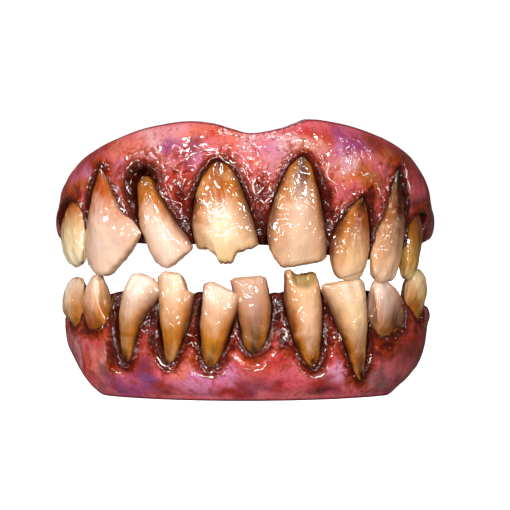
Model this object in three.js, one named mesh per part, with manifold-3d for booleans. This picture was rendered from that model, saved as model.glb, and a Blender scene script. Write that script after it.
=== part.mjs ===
// Costume teeth: a pair of acrylic plates worn over a wearer's own teeth, an upper and a lower one,
// shown biting together. Each plate is a gum with a painted front, a floor, a tongue-side wall and an
// open channel between them, and each costume tooth is a solid of its own, set in a socket of the gum.
// Millimetres. +Z is up and the teeth face -Y. Left and right are as seen from the front.

import * as THREE from "three";
import { mergeVertices } from "three/addons/utils/BufferGeometryUtils.js";
import Module from "manifold-3d";

// Arches: half an ellipse each, seen from above
const UPPER_HALF_WIDTH = 30;
const LOWER_SET_BACK = 0.7; // the lower arch is this much narrower to each side
const ARCH_LENGTH = 28;
const ARCH_SWEEP = 85; // degrees to each side of the front
const ARCH_STATIONS = 40;

// Heights
const LOWER_GUM_HEIGHT = 16.4;
const MOUTH_GAP = 7.2; // between the two gums' tooth-side edges
const UPPER_GUM_HEIGHT = 18.7;

// Walls of a gum, front to back
const FRONT_WALL = 3.8;
const CHANNEL_WIDTH = 7.2;
const TONGUE_WALL = 2.2;
const FLOOR = 2;
const FLOOR_DROP = 0.9; // how far a floor falls away from the bite by its tongue side
const ROUNDING = 0.6;

// Teeth and their sockets
const TOOTH_WIDTH = 9;
const TOOTH_DEPTH = 2.4; // of a tooth's back, behind the gum's front curve
const NECK_RECESS = 0.9; // of a neck's front, behind the same curve
const NECK_THICKNESS = 1.2;
const EDGE_THINNING = 1.2; // what a tooth's back loses towards the biting edge
const EDGE_SLOPE = 0.7; // what its front loses there
const SECTION_POWER = 2.5; // between an ellipse, 2, and a box
const CLEARANCE = 0.3;
const SOCKET_OUT = 3; // how far a socket's cut runs out past the gum's front curve
const SOCKET_FLARE = 1.12;

// Front of a gum, from the tooth-side edge up to the border. out is a share of the front wall, and up
// is a share of the way from the edge to the border.
const FRONT_FACE = table(
  ["out", "up"],
  [
    [-0.26, 0],
    [-0.1, 0.05],
    [0, 0.18],
    [0.06, 0.4],
    [0.02, 0.62],
    [-0.12, 0.8],
    [-0.3, 0.93],
    [-0.47, 1],
  ],
);

// Heights along a gum. across is a place on the arch, as a share of its half width. border and tongue
// are the tops of the front and tongue-side walls, as shares of the gum's height away from the bite.
// edge is how far the tooth-side edge reaches towards the bite, as a share of the mouth gap. out moves
// the whole section outwards, as a share of the front wall.
const GUM_COLUMNS = ["across", "border", "edge", "tongue", "out"];
const UPPER_GUM = table(GUM_COLUMNS, [
  [-1, 0.36, 0, 0.3, 0],
  [-0.975, 0.55, 0, 0.4, 0],
  [-0.93, 0.64, 0, 0.48, 0],
  [-0.87, 0.72, 0, 0.5, 0],
  [-0.725, 0.84, 0, 0.5, 0],
  [-0.5, 0.957, 0, 0.5, 0],
  [-0.29, 1, 0, 0.5, 0],
  [-0.18, 0.984, 0, 0.5, 0],
  [-0.077, 0.941, 0, 0.5, 0],
  [0.03, 0.904, 0, 0.5, 0],
  [0.19, 0.94, 0.04, 0.5, 0],
  [0.29, 0.989, 0.12, 0.5, 0],
  [0.345, 1.016, 0.16, 0.5, 0],
  [0.505, 0.984, 0.26, 0.5, 0],
  [0.725, 0.882, 0.36, 0.5, 0],
  [0.87, 0.765, 0.36, 0.5, 0],
  [0.96, 0.62, 0.04, 0.42, 0],
  [1, 0.36, 0, 0.3, 0],
]);
const LOWER_GUM = table(GUM_COLUMNS, [
  [-1, 0.4, -0.6, 0.5, -0.19],
  [-0.975, 0.73, -0.57, 0.8, -0.18],
  [-0.93, 0.85, -0.5, 0.97, -0.15],
  [-0.87, 0.94, -0.3, 1, -0.1],
  [-0.79, 1, -0.1, 1, -0.05],
  [-0.67, 1, -0.01, 1, 0],
  [-0.45, 1, -0.17, 1, 0],
  [-0.25, 1, 0, 1, 0],
  [-0.04, 1, -0.08, 1, 0],
  [0.155, 1, 0, 1, 0],
  [0.4, 1, 0.06, 1, 0],
  [0.64, 1, 0.03, 1, 0],
  [0.79, 1, -0.07, 1, 0],
  [0.87, 0.92, -0.15, 1, 0],
  [0.93, 0.85, -0.28, 0.97, 0],
  [0.975, 0.74, -0.38, 0.8, 0],
  [1, 0.42, -0.42, 0.5, 0],
]);

// Teeth, a row each. neckAcross and edgeAcross are places on the arch, as shares of its half width.
// neckUp is how far the neck reaches into the gum, as a share of the gum's height, and reach is how far
// the biting edge stands out of it, as a share of the mouth gap. neck, middle and edge are widths, bow
// is a sideways bend and proud is how far the crown stands in front of the gum's curve, all as shares
// of a tooth's width, and so is round, the length of the neck's round end. chips gives the biting edge
// as pairs: a place across the tooth from -1 to 1, and what is lost there.
const TOOTH_COLUMNS = [
  ...["name", "neckAcross", "neckUp", "edgeAcross", "reach", "neck", "middle", "edge"],
  ...["bow", "proud", "round", "colour", "chips"],
];
const UPPER_TEETH = table(TOOTH_COLUMNS, [
  ["upper_left_premolar", -0.92, 0.32, -0.88, 0.55, 0.62, 0.72, 0.6, -0.05, 0.09, 0.34, 0xe3cb96,
    [[-1, 0.25], [0.3, 0], [1, 0.3]]],
  ["upper_left_canine", -0.748, 0.631, -0.65, 0.62, 0.26, 0.82, 1.29, -0.088, 0.155, 0.2, 0xd8b094,
    [[-1, 0.28], [-0.45, 0], [1, 0.48]]],
  ["upper_left_lateral", -0.525, 0.555, -0.34, 0.4, 0.32, 0.62, 0.74, -0.07, 0.135, 0.18, 0xe0bd8c,
    [[-1, 0.16], [-0.65, 0], [-0.3, 0], [1, 0.12]]],
  ["upper_left_central", -0.135, 0.68, -0.074, 0.395, 0.51, 0.955, 1.065, -0.056, 0.145, 0.25, 0xe2bd7c,
    [[-1, 0.38], [-0.55, 0.33], [-0.15, 0], [0.2, 0], [0.45, 0.2], [1, 0.28]]],
  ["upper_right_central", 0.296, 0.72, 0.266, 0.495, 0.415, 0.895, 1.035, -0.055, 0.145, 0.2, 0xcfae90,
    [[-1, 0.24], [-0.6, 0], [-0.3, 0], [1, 0.16]]],
  ["upper_right_lateral", 0.609, 0.392, 0.511, 0.765, 0.28, 0.725, 0.745, -0.04, 0.135, 0.16, 0xd9b283,
    [[-1, 0.14], [-0.4, 0], [0.4, 0], [1, 0.16]]],
  ["upper_right_canine", 0.795, 0.608, 0.696, 0.855, 0.26, 0.575, 0.715, 0.07, 0.145, 0.2, 0xd2aa84,
    [[-1, 0.25], [0, 0], [1, 0.25]]],
  ["upper_right_premolar", 0.93, 0.23, 0.85, 0.845, 0.5, 0.6, 0.5, -0.1, 0.09, 0.3, 0xc3a468,
    [[-1, 0], [-0.3, 0], [1, 0.35]]],
]);
const LOWER_TEETH = table(TOOTH_COLUMNS, [
  ["lower_left_second_premolar", -0.915, 0.375, -0.925, 0.18, 0.5, 0.62, 0.9, -0.1, 0.09, 0.3, 0xdcbd92,
    [[-1, 0.25], [0.2, 0], [1, 0.1]]],
  ["lower_left_first_premolar", -0.83, 0.375, -0.771, 0.32, 0.4, 0.62, 0.55, 0.058, 0.1, 0.22, 0xd5ad8c,
    [[-1, 0.2], [-0.3, 0], [0.1, 0], [1, 0.45]]],
  ["lower_left_canine", -0.626, 0.66, -0.511, 0.355, 0.26, 0.5, 0.695, -0.115, 0.12, 0.15, 0xddb998,
    [[-1, 0.2], [-0.5, 0], [0.3, 0], [1, 0.2]]],
  ["lower_left_lateral", -0.396, 0.665, -0.354, 0.43, 0.26, 0.525, 0.66, 0.03, 0.12, 0.15, 0xdcb791,
    [[-1, 0.2], [-0.5, 0.02], [0.1, 0], [0.4, 0.05], [0.6, 0.25], [1, 0.32]]],
  ["lower_left_central", -0.184, 0.69, -0.11, 0.2, 0.29, 0.535, 0.65, -0.014, 0.12, 0.14, 0xdcb48c,
    [[-1, 0.05], [-0.6, 0], [0.6, 0.1], [1, 0.12]]],
  ["lower_right_central", 0.046, 0.55, 0.016, 0.35, 0.355, 0.55, 0.615, 0.07, 0.08, 0.17, 0xc09c88,
    [[-1, 0.03], [-0.8, 0], [0.8, 0], [1, 0.03]]],
  ["lower_right_lateral", 0.361, 0.695, 0.289, 0.535, 0.275, 0.6, 0.59, -0.033, 0.135, 0.15, 0xd4ad80,
    [[-1, 0], [-0.6, 0], [-0.1, 0.15], [1, 0.12]]],
  ["lower_right_canine", 0.616, 0.835, 0.506, 0.22, 0.26, 0.54, 0.845, 0.032, 0.145, 0.25, 0xdfb98d,
    [[-1, 0.1], [0, 0], [1, 0.14]]],
  ["lower_right_first_premolar", 0.84, 0.365, 0.69, 0.19, 0.54, 0.86, 0.5, -0.11, 0.11, 0.26, 0xbf9c88,
    [[-1, 0.22], [0, 0], [1, 0.22]]],
  ["lower_right_second_premolar", 0.945, 0.35, 0.905, 0.39, 0.36, 0.6, 0.8, 0.1, 0.09, 0.2, 0xd6a766,
    [[-1, 0.4], [0.3, 0], [1, 0.18]]],
]);

const GUM_COLOUR = 0xad5560;

// Where a tooth's rings lie along it, from the neck, 0, to the biting edge, 1, and where the points of
// each ring lie across it, beside those of its chips.
const RING_PLACES = [0.015, 0.06, 0.13, 0.24, 0.4, 0.58, 0.75, 0.88, 0.96, 1];
const ACROSS_PLACES = [-1, -0.7, 0, 0.7, 1];
const POINTS_APART = 0.12;
const WIDTH_PLACES = [0.08, 0.5, 0.92]; // where a tooth has its neck, middle and edge widths

// Stretches along a tooth, in the same places, over which its shape changes
const CROWN_RISES = [-0.05, 0.55];
const BACK_SINKS = [0, 0.3];
const BACK_THINS = [0.7, 1];
const FRONT_SLOPES = [0.75, 1.05];
const CHIPS_GROW = [0.35, 1];
const EDGE_DEPTHS = [[0, 1], [0.88, 1], [0.96, 0.75], [1, 0.45]]; // pairs: place, share of the depth

const GUM_ROUGHNESS = 0.25;
const TOOTH_ROUGHNESS = 0.2;
const SAME_POINT = 1e-4;

const UPPER = {
  halfWidth: UPPER_HALF_WIDTH,
  height: UPPER_GUM_HEIGHT,
  edgeLevel: LOWER_GUM_HEIGHT + MOUTH_GAP,
  bite: -1, // the way from the gum to the bite, along Z
};
const LOWER = {
  halfWidth: UPPER_HALF_WIDTH - LOWER_SET_BACK,
  height: LOWER_GUM_HEIGHT,
  edgeLevel: LOWER_GUM_HEIGHT,
  bite: 1,
};

const wasm = await Module();
wasm.setup();

// Rows of values as objects with named columns.
function table(columns, rows) {
  return rows.map((row) => Object.fromEntries(columns.map((column, i) => [column, row[i]])));
}

// A smooth change from 0 to 1 over a stretch.
function over([from, to], at) {
  return THREE.MathUtils.smoothstep(at, from, to);
}

// A column's value at a place across, by a cubic through the rows that never overshoots them.
function follow(rows, column, at) {
  const last = rows.length - 2;
  const i = Math.min(last, Math.max(0, rows.findIndex((row) => row.across > at) - 1));
  const steepness = (k) =>
    k < 0 || k > last
      ? 0
      : (rows[k + 1][column] - rows[k][column]) / (rows[k + 1].across - rows[k].across);
  const slopeAt = (k) => {
    const [before, after] = [steepness(k - 1), steepness(k)];
    return before * after > 0 ? (2 * before * after) / (before + after) : 0;
  };
  const span = rows[i + 1].across - rows[i].across;
  const t = (at - rows[i].across) / span;
  const ease = t * t * (3 - 2 * t);
  return (
    rows[i][column] * (1 - ease) +
    rows[i + 1][column] * ease +
    span * t * (1 - t) * (slopeAt(i) * (1 - t) - slopeAt(i + 1) * t)
  );
}

// A straight-line reading of pairs of a place and a value, such as a tooth's chips.
function between(pairs, at) {
  const i = Math.max(1, pairs.findIndex(([place]) => place >= at));
  const [[from, low], [to, high]] = [pairs[i - 1], pairs[i]];
  return THREE.MathUtils.mapLinear(at, from, to, low, high);
}

// The parabola through three widths at their places.
function widthAt(row, at) {
  const widths = [row.neck, row.middle, row.edge];
  return widths.reduce((sum, width, i) => {
    const others = WIDTH_PLACES.filter((_, j) => j !== i);
    const share = others.reduce((p, place) => (p * (at - place)) / (WIDTH_PLACES[i] - place), 1);
    return sum + width * share;
  }, 0);
}

// A point on a jaw's front curve, and the way out of the gum there.
function archPoint(jaw, across, level) {
  const y = ARCH_LENGTH * (1 - Math.sqrt(1 - across * across));
  return new THREE.Vector3(jaw.halfWidth * across, y, level);
}

function wayOut(jaw, across) {
  const y = -jaw.halfWidth * Math.sqrt(1 - across * across);
  return new THREE.Vector3(ARCH_LENGTH * across, y, 0).normalize();
}

// A closed geometry through rings of equally many points, with the given triangles over both ends.
function loft(rings, cap) {
  const count = rings[0].length;
  const faces = [];
  for (let r = 0; r + 1 < rings.length; r++)
    for (let i = 0; i < count; i++) {
      const next = (i + 1) % count;
      const [a, b] = [r * count + i, r * count + next];
      faces.push([a, b, b + count], [a, b + count, a + count]);
    }
  const end = (rings.length - 1) * count;
  for (const [a, b, c] of cap) faces.push([c, b, a], [end + a, end + b, end + c]);
  const points = rings.flat();
  const volume = faces.reduce((sum, [a, b, c]) => {
    return sum + points[a].dot(new THREE.Vector3().crossVectors(points[b], points[c]));
  }, 0);
  const outward = volume > 0 ? faces : faces.map(([a, b, c]) => [c, b, a]);
  return new THREE.BufferGeometry().setFromPoints(points).setIndex(outward.flat());
}

function solidOf(geometry) {
  const merged = mergeVertices(geometry, SAME_POINT);
  return new wasm.Manifold(
    new wasm.Mesh({
      numProp: 3,
      vertProperties: merged.attributes.position.array,
      triVerts: new Uint32Array(merged.index.array),
    }),
  );
}

function meshOf(solid, name, colour, roughness) {
  const { vertProperties, triVerts } = solid.getMesh();
  const geometry = new THREE.BufferGeometry();
  geometry.setAttribute("position", new THREE.BufferAttribute(vertProperties, 3));
  geometry.setIndex(new THREE.BufferAttribute(triVerts, 1));
  geometry.computeVertexNormals();
  const material = new THREE.MeshStandardMaterial({ color: colour, roughness, metalness: 0 });
  const mesh = new THREE.Mesh(geometry, material);
  mesh.name = name;
  return mesh;
}

// The frame of a tooth: from the neck along to the edge, across it, and out of the gum.
function toothFrame(jaw, row) {
  const neckLevel = jaw.edgeLevel - jaw.bite * row.neckUp * jaw.height;
  const edgeLevel = jaw.edgeLevel + jaw.bite * row.reach * (MOUTH_GAP - CLEARANCE);
  const neck = archPoint(jaw, row.neckAcross, neckLevel);
  const edge = archPoint(jaw, row.edgeAcross, edgeLevel);
  const out = wayOut(jaw, (row.neckAcross + row.edgeAcross) / 2);
  const along = edge.sub(neck);
  along.addScaledVector(out, -along.dot(out));
  const length = along.length();
  along.normalize();
  const across = new THREE.Vector3().crossVectors(along, out);
  if (across.x < 0) across.negate();
  return { neck, along, across, out, length };
}

// The rings of a tooth, made larger all round by grow. A socket's rings have a flat front instead,
// flared out past the gum.
function toothRings(jaw, row, places, grow, socket) {
  const frame = toothFrame(jaw, row);
  const round = (row.round * TOOTH_WIDTH) / frame.length;
  return RING_PLACES.map((t) => {
    const closing = Math.sqrt(1 - (1 - Math.min(t / round, 1)) ** 2);
    const halfWidth = (widthAt(row, t) * TOOTH_WIDTH * closing) / 2 + grow;
    const proud = row.proud * TOOTH_WIDTH;
    const rising = (NECK_RECESS + proud) * over(CROWN_RISES, t);
    const front = rising - NECK_RECESS - EDGE_SLOPE * over(FRONT_SLOPES, t);
    const neckBack = NECK_RECESS + NECK_THICKNESS;
    const sinking = (TOOTH_DEPTH - neckBack) * over(BACK_SINKS, t);
    const back = EDGE_THINNING * over(BACK_THINS, t) - neckBack - sinking;
    const middle = (front + back) / 2;
    const halfDepth = ((front - back) / 2) * between(EDGE_DEPTHS, t) + grow;
    const bow = row.bow * TOOTH_WIDTH * 4 * t * (1 - t);
    const point = (place, side, out) => {
      const lost = between(row.chips, place) * TOOTH_WIDTH * over(CHIPS_GROW, t);
      return frame.neck
        .clone()
        .addScaledVector(frame.along, frame.length * t + grow * (2 * t - 1) - lost)
        .addScaledVector(frame.across, side * halfWidth + bow)
        .addScaledVector(frame.out, out);
    };
    const depthAt = (place) => (1 - Math.abs(place) ** SECTION_POWER) ** (1 / SECTION_POWER);
    const inner = places.slice(1, -1);
    const fronts = inner.map((place, i) => {
      if (!socket) return point(place, place, middle + halfDepth * depthAt(place));
      const side = THREE.MathUtils.mapLinear(i, 0, inner.length - 1, -1, 1);
      return point(place, side * SOCKET_FLARE, SOCKET_OUT);
    });
    const backs = inner.map((place) => point(place, place, middle - halfDepth * depthAt(place)));
    return [point(-1, -1, middle), ...fronts, point(1, 1, middle), ...backs.reverse()];
  });
}

// Triangles over the end of a tooth: a strip from its front points to its back ones.
function toothCap(count) {
  const opposite = (i) => 2 * count - 2 - i;
  const strip = [[0, 1, opposite(1)]];
  for (let i = 1; i < count - 2; i++) {
    strip.push([i, i + 1, opposite(i + 1)], [i, opposite(i + 1), opposite(i)]);
  }
  strip.push([count - 2, count - 1, opposite(count - 2)]);
  return strip;
}

function toothSolid(jaw, row, grow = 0, socket = false) {
  const chipPlaces = row.chips.map(([place]) => place);
  const isApart = (place) => chipPlaces.every((chip) => Math.abs(chip - place) > POINTS_APART);
  const apart = ACROSS_PLACES.filter(isApart);
  const places = [...apart, ...chipPlaces].sort((a, b) => a - b);
  return solidOf(loft(toothRings(jaw, row, places, grow, socket), toothCap(places.length)));
}

// The section of a gum at one place of its arch, as pairs of out and level: the front face from the
// tooth-side edge to the border, the channel, the tongue-side wall and back along the floor.
function gumSection(jaw, rows, across) {
  const edge = jaw.edgeLevel + jaw.bite * follow(rows, "edge", across) * MOUTH_GAP;
  const border = jaw.edgeLevel - jaw.bite * follow(rows, "border", across) * jaw.height;
  const tongue = jaw.edgeLevel - jaw.bite * follow(rows, "tongue", across) * jaw.height;
  const channelBack = -FRONT_WALL - CHANNEL_WIDTH;
  const tongueSide = channelBack - TONGUE_WALL;
  const towardsBite = jaw.bite * ROUNDING;
  const floorFall = (out) => (jaw.bite * FLOOR_DROP * out) / tongueSide;
  const floorAt = (out) => edge - jaw.bite * FLOOR - floorFall(out);
  const tongueEdge = edge - floorFall(tongueSide);
  return [
    ...FRONT_FACE.map(({ out, up }) => [out * FRONT_WALL, edge + (border - edge) * up]),
    [-FRONT_WALL, border],
    [-FRONT_WALL, floorAt(-FRONT_WALL)],
    [channelBack, floorAt(channelBack)],
    [channelBack, tongue],
    [tongueSide + ROUNDING, tongue],
    [tongueSide, tongue + towardsBite],
    [tongueSide, tongueEdge - towardsBite],
    [tongueSide + ROUNDING, tongueEdge],
  ];
}

function gumSolid(jaw, rows, teeth) {
  const sweep = THREE.MathUtils.degToRad(ARCH_SWEEP);
  const rings = [];
  for (let i = 0; i <= ARCH_STATIONS; i++) {
    const across = Math.sin(THREE.MathUtils.mapLinear(i, 0, ARCH_STATIONS, -sweep, sweep));
    const out = wayOut(jaw, across);
    const moved = follow(rows, "out", across) * FRONT_WALL;
    const section = gumSection(jaw, rows, across);
    const at = ([by, level]) => archPoint(jaw, across, level).addScaledVector(out, by + moved);
    rings.push(section.map(at));
  }
  const outline = gumSection(jaw, rows, 0).map(([by, level]) => new THREE.Vector2(by, level));
  const faces = THREE.ShapeUtils.triangulateShape(outline, []);
  const cap = THREE.ShapeUtils.isClockWise(outline) ? faces.map(([a, b, c]) => [c, b, a]) : faces;
  const sockets = teeth.map((row) => toothSolid(jaw, row, CLEARANCE, true));
  return sockets.reduce((gum, socket) => gum.subtract(socket), solidOf(loft(rings, cap)));
}

// Teeth that crowd each other: the one that stands further out stays whole, and the one behind it is
// cut clear of it.
function toothMeshes(plates) {
  const all = plates.flatMap(({ jaw, teeth }) => teeth.map((row) => ({ jaw, row })));
  return all.map(({ jaw, row }, i) => {
    const ahead = all.filter(
      (other, j) => other.row.proud > row.proud || (other.row.proud === row.proud && j < i),
    );
    const solid = ahead.reduce(
      (rest, other) => rest.subtract(toothSolid(other.jaw, other.row, CLEARANCE)),
      toothSolid(jaw, row),
    );
    return { jaw, mesh: meshOf(solid, row.name, row.colour, TOOTH_ROUGHNESS) };
  });
}

const plates = [
  { jaw: UPPER, name: "upper_gum", rows: UPPER_GUM, teeth: UPPER_TEETH },
  { jaw: LOWER, name: "lower_gum", rows: LOWER_GUM, teeth: LOWER_TEETH },
];
const teeth = toothMeshes(plates);
const group = new THREE.Group();
for (const { jaw, name, rows, teeth: set } of plates) {
  const plate = new THREE.Group();
  plate.add(meshOf(gumSolid(jaw, rows, set), name, GUM_COLOUR, GUM_ROUGHNESS));
  teeth.filter((tooth) => tooth.jaw === jaw).forEach((tooth) => plate.add(tooth.mesh));
  group.add(plate);
}

// The origin is under the middle of the whole, on the surface that the lower gum rests on.
const box = new THREE.Box3().setFromObject(group);
const middle = box.getCenter(new THREE.Vector3());
group.position.set(-middle.x, -middle.y, -box.min.z);

export default group;
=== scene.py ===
"""Looks of a pair of costume teeth: two painted gum plates and eighteen teeth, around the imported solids.

Shapes are worked out in millimetres from the same tables as the solids, and made smaller to metres when
a mesh is made. +Z is up and the teeth face -Y. Left and right are as seen from the front.
"""

import math
from types import SimpleNamespace

import bpy
import numpy as np
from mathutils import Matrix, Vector


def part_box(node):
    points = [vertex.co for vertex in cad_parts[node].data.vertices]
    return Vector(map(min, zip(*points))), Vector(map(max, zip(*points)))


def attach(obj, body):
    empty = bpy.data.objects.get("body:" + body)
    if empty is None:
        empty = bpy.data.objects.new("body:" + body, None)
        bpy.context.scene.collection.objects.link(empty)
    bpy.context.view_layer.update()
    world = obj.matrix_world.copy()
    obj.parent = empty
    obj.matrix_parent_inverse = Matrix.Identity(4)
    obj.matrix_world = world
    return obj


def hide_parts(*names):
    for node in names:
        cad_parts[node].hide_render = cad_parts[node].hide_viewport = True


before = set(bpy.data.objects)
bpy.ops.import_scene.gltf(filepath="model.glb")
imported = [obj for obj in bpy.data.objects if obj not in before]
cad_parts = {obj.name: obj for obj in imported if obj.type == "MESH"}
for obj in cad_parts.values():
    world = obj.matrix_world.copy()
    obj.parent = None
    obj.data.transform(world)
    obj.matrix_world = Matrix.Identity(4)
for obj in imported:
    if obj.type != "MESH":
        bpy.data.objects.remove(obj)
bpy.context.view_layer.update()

MM = 0.001

# Sizes that the solids are made from, in millimetres and degrees
UPPER_HALF_WIDTH = 30
LOWER_SET_BACK = 0.7  # the lower arch is this much narrower to each side
ARCH_LENGTH = 28
ARCH_SWEEP = 85  # to each side of the front
LOWER_GUM_HEIGHT = 16.4
MOUTH_GAP = 7.2  # between the two gums' tooth-side edges
UPPER_GUM_HEIGHT = 18.7
FRONT_WALL = 3.8
CHANNEL_WIDTH = 7.2
TONGUE_WALL = 2.2
FLOOR = 2
FLOOR_DROP = 0.9  # how far a floor falls away from the bite by its tongue side
TOOTH_WIDTH = 9
TOOTH_DEPTH = 2.4
NECK_RECESS = 0.9
NECK_THICKNESS = 1.2
EDGE_THINNING = 1.2
EDGE_SLOPE = 0.7
CLEARANCE = 0.3

# Sizes that only the looks have, in millimetres
NECK_SHOWN = 0.35  # how far a neck's front lies behind the gum's front, where it shows
CORNER_ROUNDING = 0.45  # of the corners of a gum's section
UNDERSIDE_PLACES = (-9.5, -6.5, -4.2, -3, -2.2)  # of points on a gum's underside, out from its front curve
EDGE_ROUNDING = 0.9  # of a tooth's biting edge, from its front to its back
SHORT_TOOTH = 10.5  # in a shorter tooth, chips grow over its whole length
PRESSED_APART = 0.15  # between surfaces that would otherwise meet
PRESS_REACH = 2.5  # beside a tooth, of what it presses back
PRESS_DEPTH = 6
GUM_WAVES = [(0.22, 5.5), (0.12, 2.3), (0.04, 1.0)]  # layers of lumps, each with its height and size
TOOTH_WAVES = [(0.13, 3.1), (0.045, 1.5), (0.02, 0.7)]

# Shares and powers that only the looks have
SECTION_POWER = 2.15  # of a tooth's section, between an ellipse, 2, and a box
EDGE_KEPT = 0.36  # of a tooth's depth, what is left at the biting edge
RIB_SQUEEZE = 0.16  # of the noise along a tooth, which draws its lumps out into ribs
PRESSED_TO = 0.4  # how far a tooth behind another is pressed, from that one's front to its back
STRAND_WANDER = (0.012, 0.02)  # across the arch and in a gum's height
STRAND_LIFT = 0.2  # off the gum, of a strand's half width
STRAND_FLATNESS = 0.7
PATCH_SPREAD = 1.4  # of a patch of paint with its soft edge, against its given size
PATCH_STRENGTH = 0.95
FAR_RIGHT = (0.88, 0.99)  # where a gum gets darker with painted shade, as places across
FAR_RIGHT_PAINTED_SHADE = 0.5

# Fineness of the meshes
GUM_STATIONS = 600
CORNER_POINTS = 2  # at each control point of a corner of a gum's section
UNDERSIDE_POINTS = 3  # at each control point of its underside
TOOTH_RINGS = 92
TOOTH_AROUND = 120
FIRST_RING = 0.004  # its place along a tooth
RINGS_CROWDED = 0.4  # share of the rings' spacing that narrows towards both ends
OUTLINE_POINTS = 110  # along each side of a tooth's outline
OUTLINE_CROWDING = 1.3  # of these points towards the neck, where 1 is none
OUTLINE_BATCH = 2048  # points whose distance to a tooth's outline is worked out at once
STRAND_STEPS = 8  # between the given places along a wet strand
STRAND_SIDES = 8


def table(columns, rows):
    """Rows of values as dictionaries with named columns."""
    return [dict(zip(columns, row)) for row in rows]


# Front of a gum: out as a share of the front wall, up as a share of the way from edge to border, and the
# number of points that the mesh gets around each
FRONT_FACE = [
    (-0.26, 0, 6),
    (-0.1, 0.05, 9),
    (0, 0.18, 18),
    (0.06, 0.4, 22),
    (0.02, 0.62, 20),
    (-0.12, 0.8, 15),
    (-0.3, 0.93, 8),
    (-0.47, 1, 4),
]
FRONT_BULGE = max(out for out, _, _ in FRONT_FACE)
FRONT_POINTS = sum(count for _, _, count in FRONT_FACE[:-1])  # of the mesh, up to the border's corner

GUM_COLUMNS = ["across", "border", "edge", "tongue", "out"]
UPPER_GUM = table(GUM_COLUMNS, [
    (-1, 0.36, 0, 0.3, 0),
    (-0.975, 0.55, 0, 0.4, 0),
    (-0.93, 0.64, 0, 0.48, 0),
    (-0.87, 0.72, 0, 0.5, 0),
    (-0.725, 0.84, 0, 0.5, 0),
    (-0.5, 0.957, 0, 0.5, 0),
    (-0.29, 1, 0, 0.5, 0),
    (-0.18, 0.984, 0, 0.5, 0),
    (-0.077, 0.941, 0, 0.5, 0),
    (0.03, 0.904, 0, 0.5, 0),
    (0.19, 0.94, 0.04, 0.5, 0),
    (0.29, 0.989, 0.12, 0.5, 0),
    (0.345, 1.016, 0.16, 0.5, 0),
    (0.505, 0.984, 0.26, 0.5, 0),
    (0.725, 0.882, 0.36, 0.5, 0),
    (0.87, 0.765, 0.36, 0.5, 0),
    (0.96, 0.62, 0.04, 0.42, 0),
    (1, 0.36, 0, 0.3, 0),
])
LOWER_GUM = table(GUM_COLUMNS, [
    (-1, 0.4, -0.6, 0.5, -0.19),
    (-0.975, 0.73, -0.57, 0.8, -0.18),
    (-0.93, 0.85, -0.5, 0.97, -0.15),
    (-0.87, 0.94, -0.3, 1, -0.1),
    (-0.79, 1, -0.1, 1, -0.05),
    (-0.67, 1, -0.01, 1, 0),
    (-0.45, 1, -0.17, 1, 0),
    (-0.25, 1, 0, 1, 0),
    (-0.04, 1, -0.08, 1, 0),
    (0.155, 1, 0, 1, 0),
    (0.4, 1, 0.06, 1, 0),
    (0.64, 1, 0.03, 1, 0),
    (0.79, 1, -0.07, 1, 0),
    (0.87, 0.92, -0.15, 1, 0),
    (0.93, 0.85, -0.28, 0.97, 0),
    (0.975, 0.74, -0.38, 0.8, 0),
    (1, 0.42, -0.42, 0.5, 0),
])

# Teeth: the columns of the solids' tables, with jag for how rough the biting edge is, in millimetres
# and chips for places across it with what is lost there, as a share of a tooth's width
TOOTH_COLUMNS = ["name", "neck_across", "neck_up", "edge_across", "reach", "neck", "middle", "edge"]
TOOTH_COLUMNS += ["bow", "proud", "round", "jag", "chips"]
# How the gum lies round the tooth, in millimetres: the open pocket at its neck, to its left and to its
# right, and how high the rolled rim stands
TOOTH_COLUMNS += ["at_neck", "to_left", "to_right", "rim"]
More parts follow.
